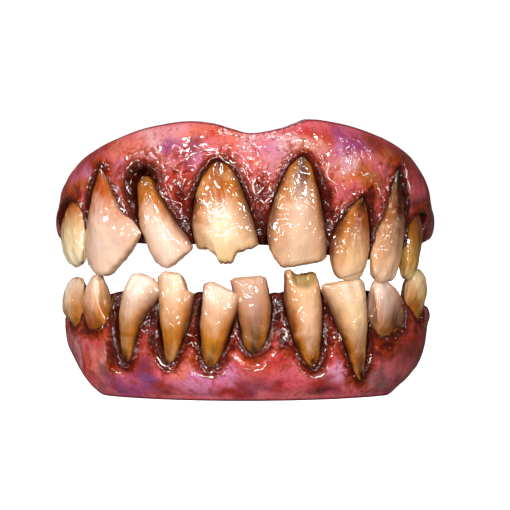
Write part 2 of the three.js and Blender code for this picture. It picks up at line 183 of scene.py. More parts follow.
# Colours of the neck's end, of the stain next to it, of the body and of the tip, the shares of the length
# where the stain ends and the body starts, and how strong the stain and the painted shade at the sides
# are at its left and right
TOOTH_COLUMNS += ["root", "stain", "body", "tip", "stain_to", "body_from", "left", "right"]
UPPER_TEETH = table(TOOTH_COLUMNS, [
    ("upper_left_premolar", -0.92, 0.34, -0.88, 0.56, 0.95, 0.95, 0.76, -0.05, 0.09, 0.34, 0.05,
     [(-1, 0.36), (-0.7, 0.14), (-0.3, 0.02), (0.3, 0), (0.7, 0.06), (1, 0.25)],
     0.3, 0.25, 0.3, 0.1, "7A2C12", "C8702A", "FFDEA4", "FFEFC8", 0.2, 0.4, 0.05, 0.3),
    ("upper_left_canine", -0.748, 0.631, -0.65, 0.62, 0.26, 0.82, 1.29, -0.088, 0.155, 0.2, 0.08,
     [(-1, 0.28), (-0.7, 0.08), (-0.45, 0), (-0.25, 0), (0.3, 0.17), (0.7, 0.35), (0.9, 0.45),
      (1, 0.52)],
     0.3, 0.35, 0.35, 0.25, "7A2008", "B44A12", "F2CFBA", "F4CEB4", 0.26, 0.52, 0.5, 0.55),
    ("upper_left_lateral", -0.525, 0.555, -0.34, 0.4, 0.32, 0.62, 0.74, -0.07, 0.135, 0.18, 0.1,
     [(-1, 0.16), (-0.8, 0.05), (-0.6, 0), (-0.3, 0), (0.9, 0.1), (1, 0.16)],
     1.4, 0.75, 0.3, 0.35, "5E3C12", "B0641A", "F4D4BE", "F5D0BA", 0.28, 0.5, 0.75, 0.8),
    ("upper_left_central", -0.135, 0.68, -0.074, 0.395, 0.51, 0.955, 1.065, -0.056, 0.145, 0.25, 0.3,
     [(-1, 0.3), (-0.68, 0.29), (-0.52, 0.19), (-0.4, 0.15), (-0.36, 0.01), (0.1, 0), (0.14, 0.06),
      (0.26, 0.16), (0.6, 0.19), (1, 0.23)],
     0.35, 0.3, 0.35, 0.5, "5A2006", "B05A0E", "F8DABA", "F0C88E", 0.34, 0.52, 0.9, 0.85),
    ("upper_right_central", 0.296, 0.72, 0.266, 0.495, 0.415, 0.895, 1.035, -0.055, 0.145, 0.2, 0.1,
     [(-1, 0.28), (-0.8, 0.12), (-0.55, 0), (-0.3, 0), (0.9, 0.13), (1, 0.2)],
     0.25, 0.25, 0.7, 0.25, "3A1A0A", "6E3C22", "E4B89C", "E8C09A", 0.2, 0.38, 0.9, 0.85),
    ("upper_right_lateral", 0.609, 0.392, 0.511, 0.765, 0.28, 0.725, 0.745, -0.04, 0.135, 0.16, 0.06,
     [(-1, 0.3), (-0.85, 0.13), (-0.6, 0.04), (-0.3, 0), (0.3, 0), (0.6, 0.04), (0.85, 0.13), (1, 0.28)],
     0.3, 0.3, 0.4, 0.2, "280A04", "8E3C0E", "F2C08E", "EFC8A0", 0.38, 0.64, 1.0, 0.5),
    ("upper_right_canine", 0.795, 0.608, 0.696, 0.855, 0.26, 0.575, 0.715, 0.07, 0.145, 0.2, 0.06,
     [(-1, 0.4), (-0.85, 0.2), (-0.6, 0.07), (-0.2, 0), (0.2, 0), (0.6, 0.07), (0.85, 0.2), (1, 0.4)],
     0.45, 0.3, 0.7, 0.25, "0E0402", "4E1A08", "E4B288", "EAC4A6", 0.5, 0.76, 0.5, 0.25),
    ("upper_right_premolar", 0.93, 0.23, 0.85, 0.845, 0.5, 0.6, 0.5, -0.1, 0.09, 0.3, 0.05,
     [(-1, 0.15), (-0.7, 0.02), (-0.3, 0), (0.3, 0.04), (0.7, 0.18), (1, 0.4)],
     0.3, 0.25, 0.3, 0.1, "3A140A", "7A3E10", "CC9A48", "DCBC78", 0.4, 0.66, 0.45, 0.35),
])
LOWER_TEETH = table(TOOTH_COLUMNS, [
    ("lower_left_second_premolar", -0.915, 0.375, -0.925, 0.24, 0.56, 0.78, 0.9, -0.1, 0.09, 0.3, 0.05,
     [(-1, 0.4), (-0.7, 0.18), (-0.3, 0.05), (0.2, 0), (0.7, 0.03), (1, 0.15)],
     0.3, 0.25, 0.25, 0.1, "6A3A12", "C8842E", "FFDAB6", "FFE8D2", 0.26, 0.48, 0.0, 0.8),
    ("lower_left_first_premolar", -0.83, 0.375, -0.771, 0.32, 0.5, 0.74, 0.6, 0.058, 0.1, 0.22, 0.06,
     [(-1, 0.26), (-0.7, 0.1), (-0.3, 0), (0, 0), (0.3, 0.1), (0.7, 0.3), (1, 0.45)],
     0.3, 0.25, 0.3, 0.1, "8A3416", "C06428", "F6C4A4", "FAD0B8", 0.32, 0.6, 0.15, 1.0),
    ("lower_left_canine", -0.626, 0.66, -0.511, 0.355, 0.26, 0.5, 0.695, -0.115, 0.12, 0.15, 0.08,
     [(-1, 0.22), (-0.8, 0.08), (-0.5, 0), (0.3, 0), (0.7, 0.06), (1, 0.22)],
     0.65, 0.6, 0.25, 0.3, "3A1C0A", "A86820", "F5D8C2", "F8E0D0", 0.42, 0.7, 0.45, 1.0),
    ("lower_left_lateral", -0.396, 0.665, -0.354, 0.43, 0.26, 0.525, 0.66, 0.03, 0.12, 0.15, 0.08,
     [(-1, 0.1), (-0.7, 0.0), (0.1, 0), (0.3, 0.03), (0.5, 0.16), (0.62, 0.26), (1, 0.32)],
     0.4, 0.3, 0.4, 0.35, "5A3010", "B87020", "F4CAA8", "F6D2BA", 0.44, 0.78, 0.6, 1.0),
    ("lower_left_central", -0.184, 0.69, -0.11, 0.2, 0.29, 0.535, 0.65, -0.014, 0.12, 0.14, 0.08,
     [(-1, 0.05), (-0.6, 0), (0.6, 0.1), (1, 0.12)],
     0.4, 0.3, 0.35, 0.35, "4E2A0C", "BE7824", "F0CAAE", "F4D2C0", 0.44, 0.74, 0.5, 0.95),
    ("lower_right_central", 0.046, 0.55, 0.016, 0.35, 0.355, 0.55, 0.615, 0.07, 0.08, 0.17, 0.05,
     [(-1, 0.03), (-0.8, 0), (0.8, 0), (1, 0.03)],
     0.35, 0.3, 0.35, 0.25, "301808", "6A3E1A", "C09078", "CCA28C", 0.26, 0.52, 0.6, 0.85),
    ("lower_right_lateral", 0.361, 0.695, 0.289, 0.535, 0.275, 0.6, 0.59, -0.033, 0.135, 0.15, 0.15,
     [(-1, 0), (-0.72, 0), (-0.5, 0.06), (-0.3, 0.1), (0, 0.11), (0.9, 0.1), (1, 0.16)],
     0.45, 0.4, 0.4, 0.35, "4A220C", "A0601E", "EABA98", "EABA86", 0.16, 0.32, 1.0, 0.8),
    ("lower_right_canine", 0.616, 0.835, 0.506, 0.22, 0.26, 0.54, 0.845, 0.032, 0.145, 0.25, 0.06,
     [(-1, 0.02), (-0.87, -0.06), (-0.5, -0.04), (0, -0.01), (0.7, 0.02), (0.9, 0.06), (1, 0.15)],
     0.3, 0.3, 0.6, 0.2, "0E0402", "8A4A22", "F8D2A0", "F6D2B4", 0.34, 0.6, 0.9, 0.5),
    ("lower_right_first_premolar", 0.84, 0.365, 0.69, 0.21, 0.58, 0.9, 0.62, -0.11, 0.11, 0.26, 0.05,
     [(-1, 0.35), (-0.8, 0.15), (-0.5, 0.04), (-0.2, 0), (0.2, 0), (0.5, 0.04), (0.8, 0.15), (1, 0.35)],
     0.3, 0.4, 0.3, 0.1, "32120A", "7C421C", "E6BEAA", "ECCCBA", 0.36, 0.6, 0.7, 0.45),
    ("lower_right_second_premolar", 0.935, 0.33, 0.9, 0.39, 0.5, 0.78, 0.86, 0.1, 0.09, 0.24, 0.06,
     [(-1, 0.4), (-0.6, 0.14), (-0.2, 0.02), (0.3, 0), (0.7, 0.06), (1, 0.24)],
     0.25, 0.25, 0.25, 0.1, "62220A", "A8600E", "FFD088", "FFE2B4", 0.28, 0.5, 1.0, 0.25),
])

# Stretches along a tooth over which its shape changes, and places of its widths, as shares of its length
CROWN_RISES = (-0.05, 0.55)
BACK_SINKS = (0, 0.3)
BACK_THINS = (0.7, 1)
FRONT_SLOPES = (0.75, 1.05)
CHIPS_GROW = (0.35, 1)
JAG_GROWS = (0.8, 1)
WIDTH_PLACES = (0.08, 0.5, 0.92)
OUTLINE_END = 1.05

# The rings over a tooth's biting edge: how far each is drawn in, and how much relief it keeps
TOP_DRAWN_IN = (0.3, 0.55, 0.75, 0.9)
TOP_RELIEF = (0.7, 0.45, 0.2, 0)
TOP_NARROWING = 0.35  # of the half width, in millimetres, when drawn in wholly
TOP_RISE = 0.12  # in millimetres, when drawn in wholly

# The broken hollow in the top of one lower tooth: its middle and half size across and along, and its depth
SCOOPED_TOOTH = "lower_right_lateral"
SCOOP_SIDE = (0.22, 0.9)
SCOOP_ALONG = (0.95, 0.17)
SCOOP_DEPTH = 1.3

# What every collar has, in millimetres
COLLAR_SIDE = 5  # how far it reaches beside the tooth
COLLAR_ABOVE = 7  # beyond the neck
COLLAR_BELOW = 2  # past the biting edge
COLLAR_DEPTH = 6
AT_NECK = (0, 0.35)  # stretch along the tooth that counts as its neck, as shares of its length
DEEP_POCKET = (0.6, 1.2)  # widths of a pocket that opens down to the tooth's back
NECK_COVER = 0.35  # how far a gum lies over a neck without a deep pocket
RIM = (0.4, 0.45)  # the rim's middle, beyond the pocket, and its half width
DIP = (1.4, 0.7)  # the same of the dip behind it
DIP_DEPTH = 0.2
GOO_HEIGHT = 0.4
ROOT_HEIGHT = 0.3  # of the swelling over a root
ROOT_HALF_WIDTH = 2.4
ROOT_STARTS = (-7, -1.5)
ROOT_ENDS = (-0.8, 0.3)

# Paint, as hexadecimal colours on a screen
PAINT = {
    "base": "D2646C",
    "pale_pink": "E0A8AA",
    "pink": "D68C90",
    "rose": "D4606E",
    "salmon": "D97462",
    "peach": "F1B3A2",
    "red": "B8322A",
    "orange_red": "C84A22",
    "dark_red": "8C2220",
    "maroon": "52160F",
    "purple": "964070",
    "plum": "7C2E44",
    "violet": "7A4C84",
    "lilac": "C4789C",
    "pale_lilac": "E09CB8",
    "orange": "DC7444",
    "brown": "74301C",
    "orange_brown": "AC5A1E",
    "mauve": "86585A",
    "hidden": "B5656B",
}

# Patches of paint on a gum's front: place across the arch, height above the tooth-side edge as a share of
# the gum's height, half width and half height in millimetres, and paint
UPPER_PATCHES = [
    (-0.73, 0.77, 1.4, 0.8, "dark_red"),
    (-0.81, 0.68, 1.5, 1.2, "dark_red"),
    (-0.90, 0.57, 1.1, 1.6, "rose"),
    (-0.67, 0.77, 1.5, 1.4, "salmon"),
    (-0.53, 0.79, 2.3, 1.4, "salmon"),
    (-0.44, 0.86, 2.4, 1.4, "pale_pink"),
    (-0.37, 0.92, 2.4, 0.8, "pink"),
    (-0.25, 0.89, 1.7, 1.1, "salmon"),
    (-0.12, 0.93, 2.0, 1.1, "orange_red"),
    (-0.37, 0.81, 1.2, 0.9, "purple"),
    (-0.25, 0.79, 1.1, 0.8, "plum"),
    (-0.30, 0.73, 1.4, 0.8, "dark_red"),
    (-0.30, 0.63, 1.1, 0.9, "plum"),
    (-0.49, 0.68, 2.1, 0.9, "pale_pink"),
    (-0.42, 0.64, 1.2, 1.2, "pink"),
    (-0.35, 0.52, 1.5, 1.7, "red"),
    (-0.63, 0.62, 0.9, 1.2, "lilac"),
    (-0.59, 0.54, 1.2, 1.5, "salmon"),
    (-0.75, 0.59, 1.5, 1.4, "orange_red"),
    (-0.83, 0.55, 0.9, 0.8, "lilac"),
    (-0.88, 0.45, 1.6, 0.9, "orange_brown"),
    (-0.93, 0.39, 0.9, 1.4, "red"),
    (-0.98, 0.24, 0.8, 1.6, "maroon"),
    (-0.24, 0.66, 0.9, 1.4, "lilac"),
    (-0.06, 0.83, 1.7, 1.2, "salmon"),
    (0.03, 0.85, 1.2, 1.2, "pink"),
    (0.06, 0.70, 1.4, 1.5, "salmon"),
    (0.15, 0.75, 1.8, 1.4, "lilac"),
    (0.22, 0.82, 2.0, 1.2, "pale_pink"),
    (0.14, 0.62, 1.5, 1.4, "pink"),
    (0.07, 0.54, 1.2, 1.2, "rose"),
    (0.33, 0.81, 1.8, 1.1, "peach"),
    (0.31, 0.90, 1.8, 0.9, "red"),
    (0.41, 0.85, 1.2, 1.2, "orange_red"),
    (0.28, 0.74, 1.1, 0.6, "orange_brown"),
    (0.50, 0.90, 1.8, 1.4, "purple"),
    (0.56, 0.79, 1.8, 1.1, "purple"),
    (0.48, 0.77, 1.2, 1.1, "lilac"),
    (0.68, 0.84, 1.6, 1.3, "brown"),
    (0.76, 0.8, 1.6, 1.2, "dark_red"),
    (0.76, 0.72, 1.4, 0.9, "orange_brown"),
    (0.84, 0.7, 1.6, 1.5, "maroon"),
    (0.9, 0.58, 1.2, 2.0, "dark_red"),
    (0.52, 0.64, 1.8, 1.1, "pale_pink"),
    (0.44, 0.59, 1.2, 1.4, "salmon"),
    (0.56, 0.56, 1.8, 0.9, "orange"),
    (0.61, 0.60, 1.1, 1.1, "orange_brown"),
    (0.65, 0.51, 1.4, 1.1, "orange_brown"),
    (0.86, 0.56, 1.1, 1.5, "dark_red"),
    (0.89, 0.44, 1.1, 1.4, "rose"),
    (0.97, 0.39, 0.9, 3.0, "maroon"),
    (0.91, 0.29, 1.1, 1.6, "maroon"),
    (0.96, 0.11, 0.8, 2.2, "maroon"),
]
LOWER_PATCHES = [
    (-0.96, 0.37, 0.8, 1.4, "dark_red"),
    (-0.92, 0.53, 0.9, 1.4, "pink"),
    (-0.89, 0.66, 0.8, 1.4, "pink"),
    (-0.86, 0.69, 0.6, 1.7, "red"),
    (-0.80, 0.68, 1.1, 1.7, "salmon"),
    (-0.78, 0.42, 1.5, 0.9, "orange_red"),
    (-0.85, 0.38, 0.9, 0.8, "maroon"),
    (-0.75, 0.60, 0.6, 1.4, "pale_pink"),
    (-0.75, 0.80, 0.9, 1.5, "mauve"),
    (-0.70, 0.72, 0.8, 0.9, "orange_red"),
    (-0.68, 0.88, 1.4, 1.1, "purple"),
    (-0.58, 0.71, 1.4, 1.4, "purple"),
    (-0.53, 0.72, 1.4, 1.4, "plum"),
    (-0.51, 0.84, 1.2, 0.9, "violet"),
    (-0.60, 0.92, 1.7, 1.1, "purple"),
    (-0.47, 0.55, 1.1, 1.1, "dark_red"),
    (-0.44, 0.72, 1.4, 0.9, "rose"),
    (-0.40, 0.89, 2.4, 0.8, "dark_red"),
    (-0.29, 0.80, 2.1, 1.2, "lilac"),
    (-0.34, 0.75, 1.2, 0.9, "salmon"),
    (-0.20, 0.84, 1.8, 1.2, "lilac"),
    (-0.29, 0.62, 0.9, 0.8, "orange_brown"),
    (-0.12, 0.75, 1.1, 0.9, "lilac"),
    (-0.05, 0.70, 1.2, 0.9, "lilac"),
    (-0.04, 0.82, 1.4, 0.8, "lilac"),
    (-0.08, 0.92, 2.1, 0.7, "dark_red"),
    (0.01, 0.86, 1.4, 1.4, "dark_red"),
    (0.03, 0.61, 1.5, 1.2, "orange_red"),
    (0.12, 0.71, 1.5, 1.1, "orange_red"),
    (0.18, 0.58, 1.2, 1.1, "red"),
    (0.17, 0.78, 1.8, 1.1, "rose"),
    (0.09, 0.87, 2.1, 0.8, "plum"),
    (0.21, 0.87, 1.8, 0.9, "dark_red"),
    (0.28, 0.82, 1.5, 0.9, "rose"),
    (0.37, 0.84, 1.7, 0.8, "dark_red"),
    (0.40, 0.92, 1.5, 0.6, "maroon"),
    (0.47, 0.73, 1.8, 1.2, "pale_lilac"),
    (0.44, 0.55, 0.9, 1.1, "red"),
    (0.50, 0.91, 1.5, 0.8, "plum"),
    (0.56, 0.88, 1.5, 0.9, "rose"),
    (0.62, 0.82, 1.8, 1.4, "mauve"),
    (0.73, 0.80, 2.1, 1.7, "mauve"),
    (0.80, 0.58, 1.4, 0.6, "brown"),
    (0.7, 0.5, 2.0, 0.8, "brown"),
    (0.77, 0.51, 1.9, 1.0, "maroon"),
    (0.93, 0.5, 1.2, 1.6, "dark_red"),
    (0.87, 0.46, 1.4, 0.9, "dark_red"),
    (0.88, 0.63, 1.4, 1.4, "brown"),
    (0.96, 0.68, 0.6, 2.2, "maroon"),
    (0.82, 0.94, 1.8, 0.8, "plum"),
    (0.86, 0.29, 1.1, 0.9, "maroon"),
]

# Small lumps and pits on a gum's front: place across, height as a share, radius and height in millimetres
UPPER_BUMPS = [
    (-0.345, 0.807, 0.7, 0.45),
    (-0.370, 0.782, 0.5, 0.35),
    (-0.254, 0.798, 0.7, 0.4),
    (-0.234, 0.823, 0.4, 0.3),
    (-0.386, 0.702, 0.4, 0.4),
    (-0.376, 0.637, 0.35, 0.35),
    (-0.320, 0.670, 0.45, 0.45),
    (-0.300, 0.613, 0.4, 0.4),
    (-0.406, 0.750, 0.35, 0.25),
    (-0.279, 0.758, 0.4, 0.3),
    (-0.340, 0.734, 0.4, 0.3),
    (-0.639, 0.693, 0.45, 0.3),
    (-0.312, 0.64, 0.6, -0.6),
    (-0.292, 0.585, 0.5, -0.45),
    (-0.355, 0.68, 0.5, -0.35),
    (-0.265, 0.70, 0.5, -0.3),
]
LOWER_BUMPS = [
    (-0.045, 0.695, 0.25, -0.3),
    (-0.12, 0.74, 0.5, 0.2),
    (-0.21, 0.79, 0.5, 0.2),
    (0.23, 0.90, 0.35, 0.2),
    (0.43, 0.78, 0.5, 0.25),
    (0.48, 0.80, 0.35, 0.25),
    (0.47, 0.70, 0.35, 0.25),
    (-0.80, 0.89, 0.3, -0.3),
    (-0.56, 0.86, 0.6, 0.2),
    (-0.44, 0.96, 0.4, 0.2),
]

# Regions of a gum that are wrinkled: place across, height as a share, half width and half height in
# millimetres, wrinkle height and size in millimetres, and how many times longer than wide each wrinkle is
UPPER_WRINKLES = [
    (-0.02, 0.86, 1.6, 1.2, 0.35, 0.7, 1),
    (0.05, 0.78, 1.5, 1.3, 0.35, 0.6, 1),
    (0.08, 0.55, 1.6, 2.0, 0.35, 0.7, 1.5),
    (-0.3, 0.5, 1.6, 2.2, 0.3, 0.8, 1),
    (0.62, 0.42, 1.2, 1.5, 0.3, 0.6, 1),
    (-0.31, 0.68, 2.0, 2.0, 0.2, 0.9, 1),
]
LOWER_WRINKLES = [
    (-0.84, 0.72, 2.4, 3.2, 0.6, 1.3, 5),
    (-0.72, 0.78, 1.5, 2.5, 0.35, 0.9, 5),
    (-0.3, 0.58, 1.3, 1.4, 0.35, 0.6, 1),
    (0.2, 0.45, 1.5, 2.0, 0.35, 0.7, 1),
    (0.44, 0.5, 1.0, 2.0, 0.35, 0.6, 1.5),
    (-0.08, 0.5, 1.0, 1.6, 0.35, 0.6, 1),
    (0.7, 0.75, 4.0, 2.0, 0.12, 1.2, 2),
]

# Wet and dark regions away from the teeth: place across, height as a share, half width and half height in
# millimetres, and how wet
UPPER_WET = [
    (-0.32, 0.4, 1.6, 2.6, 0.75),
    (-0.34, 0.6, 0.9, 0.9, 0.5),
    (0.08, 0.42, 1.5, 2.8, 0.8),
    (0.42, 0.38, 1.2, 2.2, 0.85),
    (0.63, 0.4, 1.2, 1.5, 0.8),
    (-0.66, 0.42, 1.0, 2.0, 0.75),
    (-0.86, 0.4, 1.2, 1.2, 0.6),
    (0.96, 0.35, 0.9, 3.5, 0.6),
    (0.86, 0.72, 1.2, 1.8, 0.5),
]
LOWER_WET = [
    (-0.7, 0.6, 1.2, 2.6, 0.9),
    (-0.48, 0.45, 1.0, 2.4, 0.95),
    (-0.86, 0.4, 1.8, 0.8, 0.6),
    (-0.28, 0.42, 1.0, 2.0, 0.9),
    (-0.07, 0.45, 1.0, 2.0, 0.85),
    (0.2, 0.4, 1.2, 2.2, 0.95),
    (0.45, 0.4, 0.9, 2.2, 0.8),
    (0.75, 0.52, 2.0, 1.2, 0.85),
    (0.9, 0.4, 1.5, 1.0, 0.75),
]

# Wet strands over a gum, pale in places with painted glints: half width in millimetres, and points with
# a place across and a height as a share
UPPER_STRANDS = [
    (0.17, [(-0.31, 0.66), (-0.28, 0.71), (-0.22, 0.76), (-0.16, 0.77), (-0.1, 0.73), (-0.07, 0.68),
            (-0.01, 0.66)]),
    (0.13, [(-0.22, 0.72), (-0.15, 0.73), (-0.11, 0.68), (-0.05, 0.64), (0.0, 0.62), (0.02, 0.55)]),
    (0.12, [(-0.31, 0.62), (-0.33, 0.55), (-0.37, 0.48), (-0.35, 0.44)]),
    (0.15, [(0.03, 0.6), (0.06, 0.53), (0.03, 0.48), (0.06, 0.4), (0.1, 0.47), (0.13, 0.55), (0.11, 0.6)]),
    (0.11, [(0.07, 0.36), (0.1, 0.33), (0.13, 0.38), (0.14, 0.45)]),
    (0.13, [(0.385, 0.75), (0.405, 0.66), (0.43, 0.56), (0.455, 0.48), (0.47, 0.43)]),
    (0.11, [(0.36, 0.72), (0.4, 0.72), (0.42, 0.64), (0.41, 0.6)]),
    (0.12, [(0.47, 0.33), (0.45, 0.28), (0.48, 0.25)]),
    (0.11, [(0.58, 0.55), (0.62, 0.57), (0.66, 0.54)]),
    (0.12, [(0.65, 0.5), (0.68, 0.45), (0.69, 0.38)]),
    (0.17, [(0.83, 0.65), (0.85, 0.56), (0.855, 0.47), (0.86, 0.4)]),
    (0.13, [(-0.77, 0.62), (-0.79, 0.55), (-0.81, 0.48), (-0.8, 0.42)]),
    (0.11, [(-0.86, 0.34), (-0.84, 0.32)]),
    (0.14, [(-0.6, 0.5), (-0.615, 0.58), (-0.58, 0.66), (-0.54, 0.69), (-0.5, 0.68)]),
    (0.11, [(-0.55, 0.6), (-0.575, 0.53), (-0.59, 0.45), (-0.57, 0.41)]),
    (0.13, [(-0.66, 0.42), (-0.635, 0.38), (-0.65, 0.32), (-0.62, 0.28), (-0.615, 0.2)]),
    (0.13, [(-0.4, 0.46), (-0.42, 0.41), (-0.38, 0.37), (-0.35, 0.34), (-0.31, 0.32)]),
    (0.12, [(-0.39, 0.49), (-0.36, 0.47), (-0.37, 0.43)]),
    (0.12, [(-0.33, 0.4), (-0.3, 0.38), (-0.28, 0.42)]),
    (0.14, [(-0.1, 0.97), (-0.05, 0.93), (0.0, 0.88), (0.05, 0.84)]),
    (0.12, [(0.0, 0.92), (0.03, 0.87), (0.0, 0.84), (0.04, 0.8)]),
]
LOWER_STRANDS = [
    (0.12, [(-0.74, 0.17), (-0.72, 0.26), (-0.755, 0.36)]),
    (0.12, [(-0.71, 0.72), (-0.68, 0.76), (-0.65, 0.76)]),
    (0.14, [(-0.46, 0.52), (-0.45, 0.6), (-0.42, 0.67), (-0.37, 0.71)]),
    (0.12, [(-0.47, 0.6), (-0.44, 0.68), (-0.4, 0.74), (-0.36, 0.74)]),
    (0.13, [(-0.32, 0.42), (-0.28, 0.38), (-0.25, 0.42), (-0.24, 0.49)]),
    (0.11, [(-0.31, 0.48), (-0.28, 0.45), (-0.26, 0.5)]),
    (0.14, [(-0.25, 0.74), (-0.19, 0.78), (-0.13, 0.76), (-0.1, 0.72)]),
    (0.11, [(-0.22, 0.72), (-0.17, 0.74), (-0.13, 0.72)]),
    (0.13, [(-0.07, 0.4), (-0.045, 0.36), (-0.03, 0.43), (-0.05, 0.48)]),
    (0.12, [(0.0, 0.68), (0.05, 0.72), (0.1, 0.68), (0.13, 0.62)]),
    (0.15, [(0.19, 0.32), (0.22, 0.36), (0.2, 0.42), (0.22, 0.46)]),
    (0.11, [(0.18, 0.14), (0.19, 0.22), (0.18, 0.28)]),
    (0.13, [(0.27, 0.62), (0.3, 0.72), (0.35, 0.79), (0.41, 0.76), (0.44, 0.68)]),
    (0.12, [(0.44, 0.38), (0.48, 0.36), (0.49, 0.42), (0.47, 0.5), (0.465, 0.58)]),
    (0.12, [(0.4, 0.4), (0.43, 0.34), (0.46, 0.33)]),
    (0.15, [(0.66, 0.6), (0.645, 0.68), (0.625, 0.75)]),
    (0.11, [(0.72, 0.45), (0.75, 0.43)]),
]

# The whole is shifted along Y so that its middle is over the origin, as the solids are
ARCH_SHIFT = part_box("upper_gum")[0].y / MM + FRONT_BULGE * FRONT_WALL

UPPER = SimpleNamespace(
    name="upper",
    half_width=UPPER_HALF_WIDTH,
    height=UPPER_GUM_HEIGHT,
    edge_level=LOWER_GUM_HEIGHT + MOUTH_GAP,
    bite=-1,
    rows=UPPER_GUM,
    teeth=UPPER_TEETH,
    patches=UPPER_PATCHES,
    bumps=UPPER_BUMPS,
    wrinkles=UPPER_WRINKLES,
    wet_spots=UPPER_WET,
    strands=UPPER_STRANDS,
)
LOWER = SimpleNamespace(
    name="lower",
    half_width=UPPER_HALF_WIDTH - LOWER_SET_BACK,
    height=LOWER_GUM_HEIGHT,
    edge_level=LOWER_GUM_HEIGHT,
    bite=1,
    rows=LOWER_GUM,
    teeth=LOWER_TEETH,
    patches=LOWER_PATCHES,
    bumps=LOWER_BUMPS,
    wrinkles=LOWER_WRINKLES,
    wet_spots=LOWER_WET,
    strands=LOWER_STRANDS,
)


# Noise and curves

def over(stretch, at):
    """A smooth change from 0 to 1 over a stretch."""
    t = np.clip((at - stretch[0]) / (stretch[1] - stretch[0]), 0, 1)
    return t * t * (3 - 2 * t)


def lattice(x, y, z, seed):
    """A fixed random number from -1 to 1 for each corner of a lattice."""
    n = x * 73856093 ^ y * 19349663 ^ z * 83492791 ^ (seed * 2654435761)
    n = (n ^ (n >> 13)) * 1274126177 & 0xFFFFFFFF
    n = (n ^ (n >> 16)) * 2246822519 & 0xFFFFFFFF
    n = n ^ (n >> 15)
    return (n & 0xFFFF) / 32767.5 - 1


def noise(points, size, seed=0):
    """Smooth noise from about -1 to 1 at points, with lumps of the given size."""
    at = points / size + 512
    cell = np.floor(at).astype(np.int64)
    part = at - cell
    part = part**3 * (part * (part * 6 - 15) + 10)
    total = 0
    for corner in range(8):
        step = [corner & 1, corner >> 1 & 1, corner >> 2 & 1]
        value = lattice(*(cell[..., i] + step[i] for i in range(3)), seed)
        weight = 1
        for i in range(3):
            weight = weight * (part[..., i] if step[i] else 1 - part[..., i])
        total = total + value * weight
    return total


def waves(points, layers, seed):
    """Noise in layers, each with the height and size of its lumps."""
    return sum(height * noise(points, size, seed + i) for i, (height, size) in enumerate(layers))


def ridges(points, size, seed=0):
    """Noise from 0 to 1 with sharp crests."""
    return (1 - np.abs(noise(points, size, seed) * 1.6)).clip(0, 1) ** 2


def follow(rows, column, at):
    """A column's value at places across, by a cubic through the rows that never overshoots them."""
    x = np.array([row["across"] for row in rows], float)
    y = np.array([row[column] for row in rows], float)
    steep = np.diff(y) / np.diff(x)
    product = steep[:-1] * steep[1:]
    total = np.where(product > 0, steep[:-1] + steep[1:], 1)
    slope = np.concatenate([[0], np.where(product > 0, 2 * product / total, 0), [0]])
    i = np.clip(np.searchsorted(x, at, side="right") - 1, 0, len(x) - 2)
    span = x[i + 1] - x[i]
    t = (at - x[i]) / span
    ease = t * t * (3 - 2 * t)
    bend = span * t * (1 - t) * (slope[i] * (1 - t) - slope[i + 1] * t)
    return y[i] * (1 - ease) + y[i + 1] * ease + bend


def arch_point(jaw, across, level):
    """Points on a jaw's front curve."""
    across, level = np.broadcast_arrays(across, level)
    back = ARCH_LENGTH * (1 - np.sqrt(1 - across**2)) + ARCH_SHIFT
    return np.stack([jaw.half_width * across, back, level], -1).astype(float)


def way_out(jaw, across):
    """Directions out of the gum at places across."""
    across = np.asarray(across, float)
    way = np.stack([ARCH_LENGTH * across, -jaw.half_width * np.sqrt(1 - across**2), across * 0], -1)
    return way / np.linalg.norm(way, axis=-1, keepdims=True)


def unit(ways):
    """Directions with a length of 1."""
    return ways / (np.linalg.norm(ways, axis=-1, keepdims=True) + 1e-9)


def grid_normals(points):
    """Directions out of a grid of rings, from its neighbouring points."""
    around = np.roll(points, -1, 1) - np.roll(points, 1, 1)
    normal = unit(np.cross(np.gradient(points, axis=0), around))
    outward = points - points.mean(1, keepdims=True)
    return normal if (normal * outward).sum() > 0 else -normal


# Meshes

def put_in_scene(name, data):
    """An object of its own for a mesh, camera or light."""
    holder = bpy.data.objects.new(name, data)
    bpy.context.scene.collection.objects.link(holder)
    return holder


def new_piece(name, points, faces, values=None, colours=None):
    """A smooth-shaded mesh object with named values and colours at its points."""
    mesh = bpy.data.meshes.new(name)
    mesh.from_pydata((points * MM).tolist(), [], faces)
    for key, value in (values or {}).items():
        layer = mesh.attributes.new(key, "FLOAT", "POINT")
        layer.data.foreach_set("value", np.asarray(value, np.float32).ravel())
    for key, value in (colours or {}).items():
        layer = mesh.attributes.new(key, "FLOAT_COLOR", "POINT")
        opaque = np.concatenate([value, np.ones((len(value), 1))], 1)
        layer.data.foreach_set("color", opaque.astype(np.float32).ravel())
    mesh.polygons.foreach_set("use_smooth", [True] * len(mesh.polygons))
    mesh.update()
    return put_in_scene(name, mesh)


def ring_faces(points, narrow_end=False):
    """Faces round a grid of rings, turned outwards, with a face over each end, or a band of faces over a
    narrow last ring."""
    rings, around = points.shape[:2]
    here = np.arange(rings * around).reshape(rings, around)
    beside = np.roll(here, -1, 1)
    walls = np.stack([here[:-1], beside[:-1], beside[1:], here[1:]], -1).reshape(-1, 4)
    faces = walls.tolist()
    last = (rings - 1) * around
    faces.append(list(range(around - 1, -1, -1)))
    if narrow_end:
        for i in range(around // 2):
            band = [last + i, last + i + 1, last + around - i - 1, last + (around - i) % around]
            faces.append(list(dict.fromkeys(band)))
    else:
        faces.append(list(range(last, last + around)))
    flat = points.reshape(-1, 3)
    corners = flat[walls]
    middles = corners.mean(1) - flat.mean(0)
    areas = np.cross(corners[:, 2] - corners[:, 0], corners[:, 3] - corners[:, 1])
    inside_out = (middles * areas).sum() < 0
    return [face[::-1] for face in faces] if inside_out else faces


# Teeth

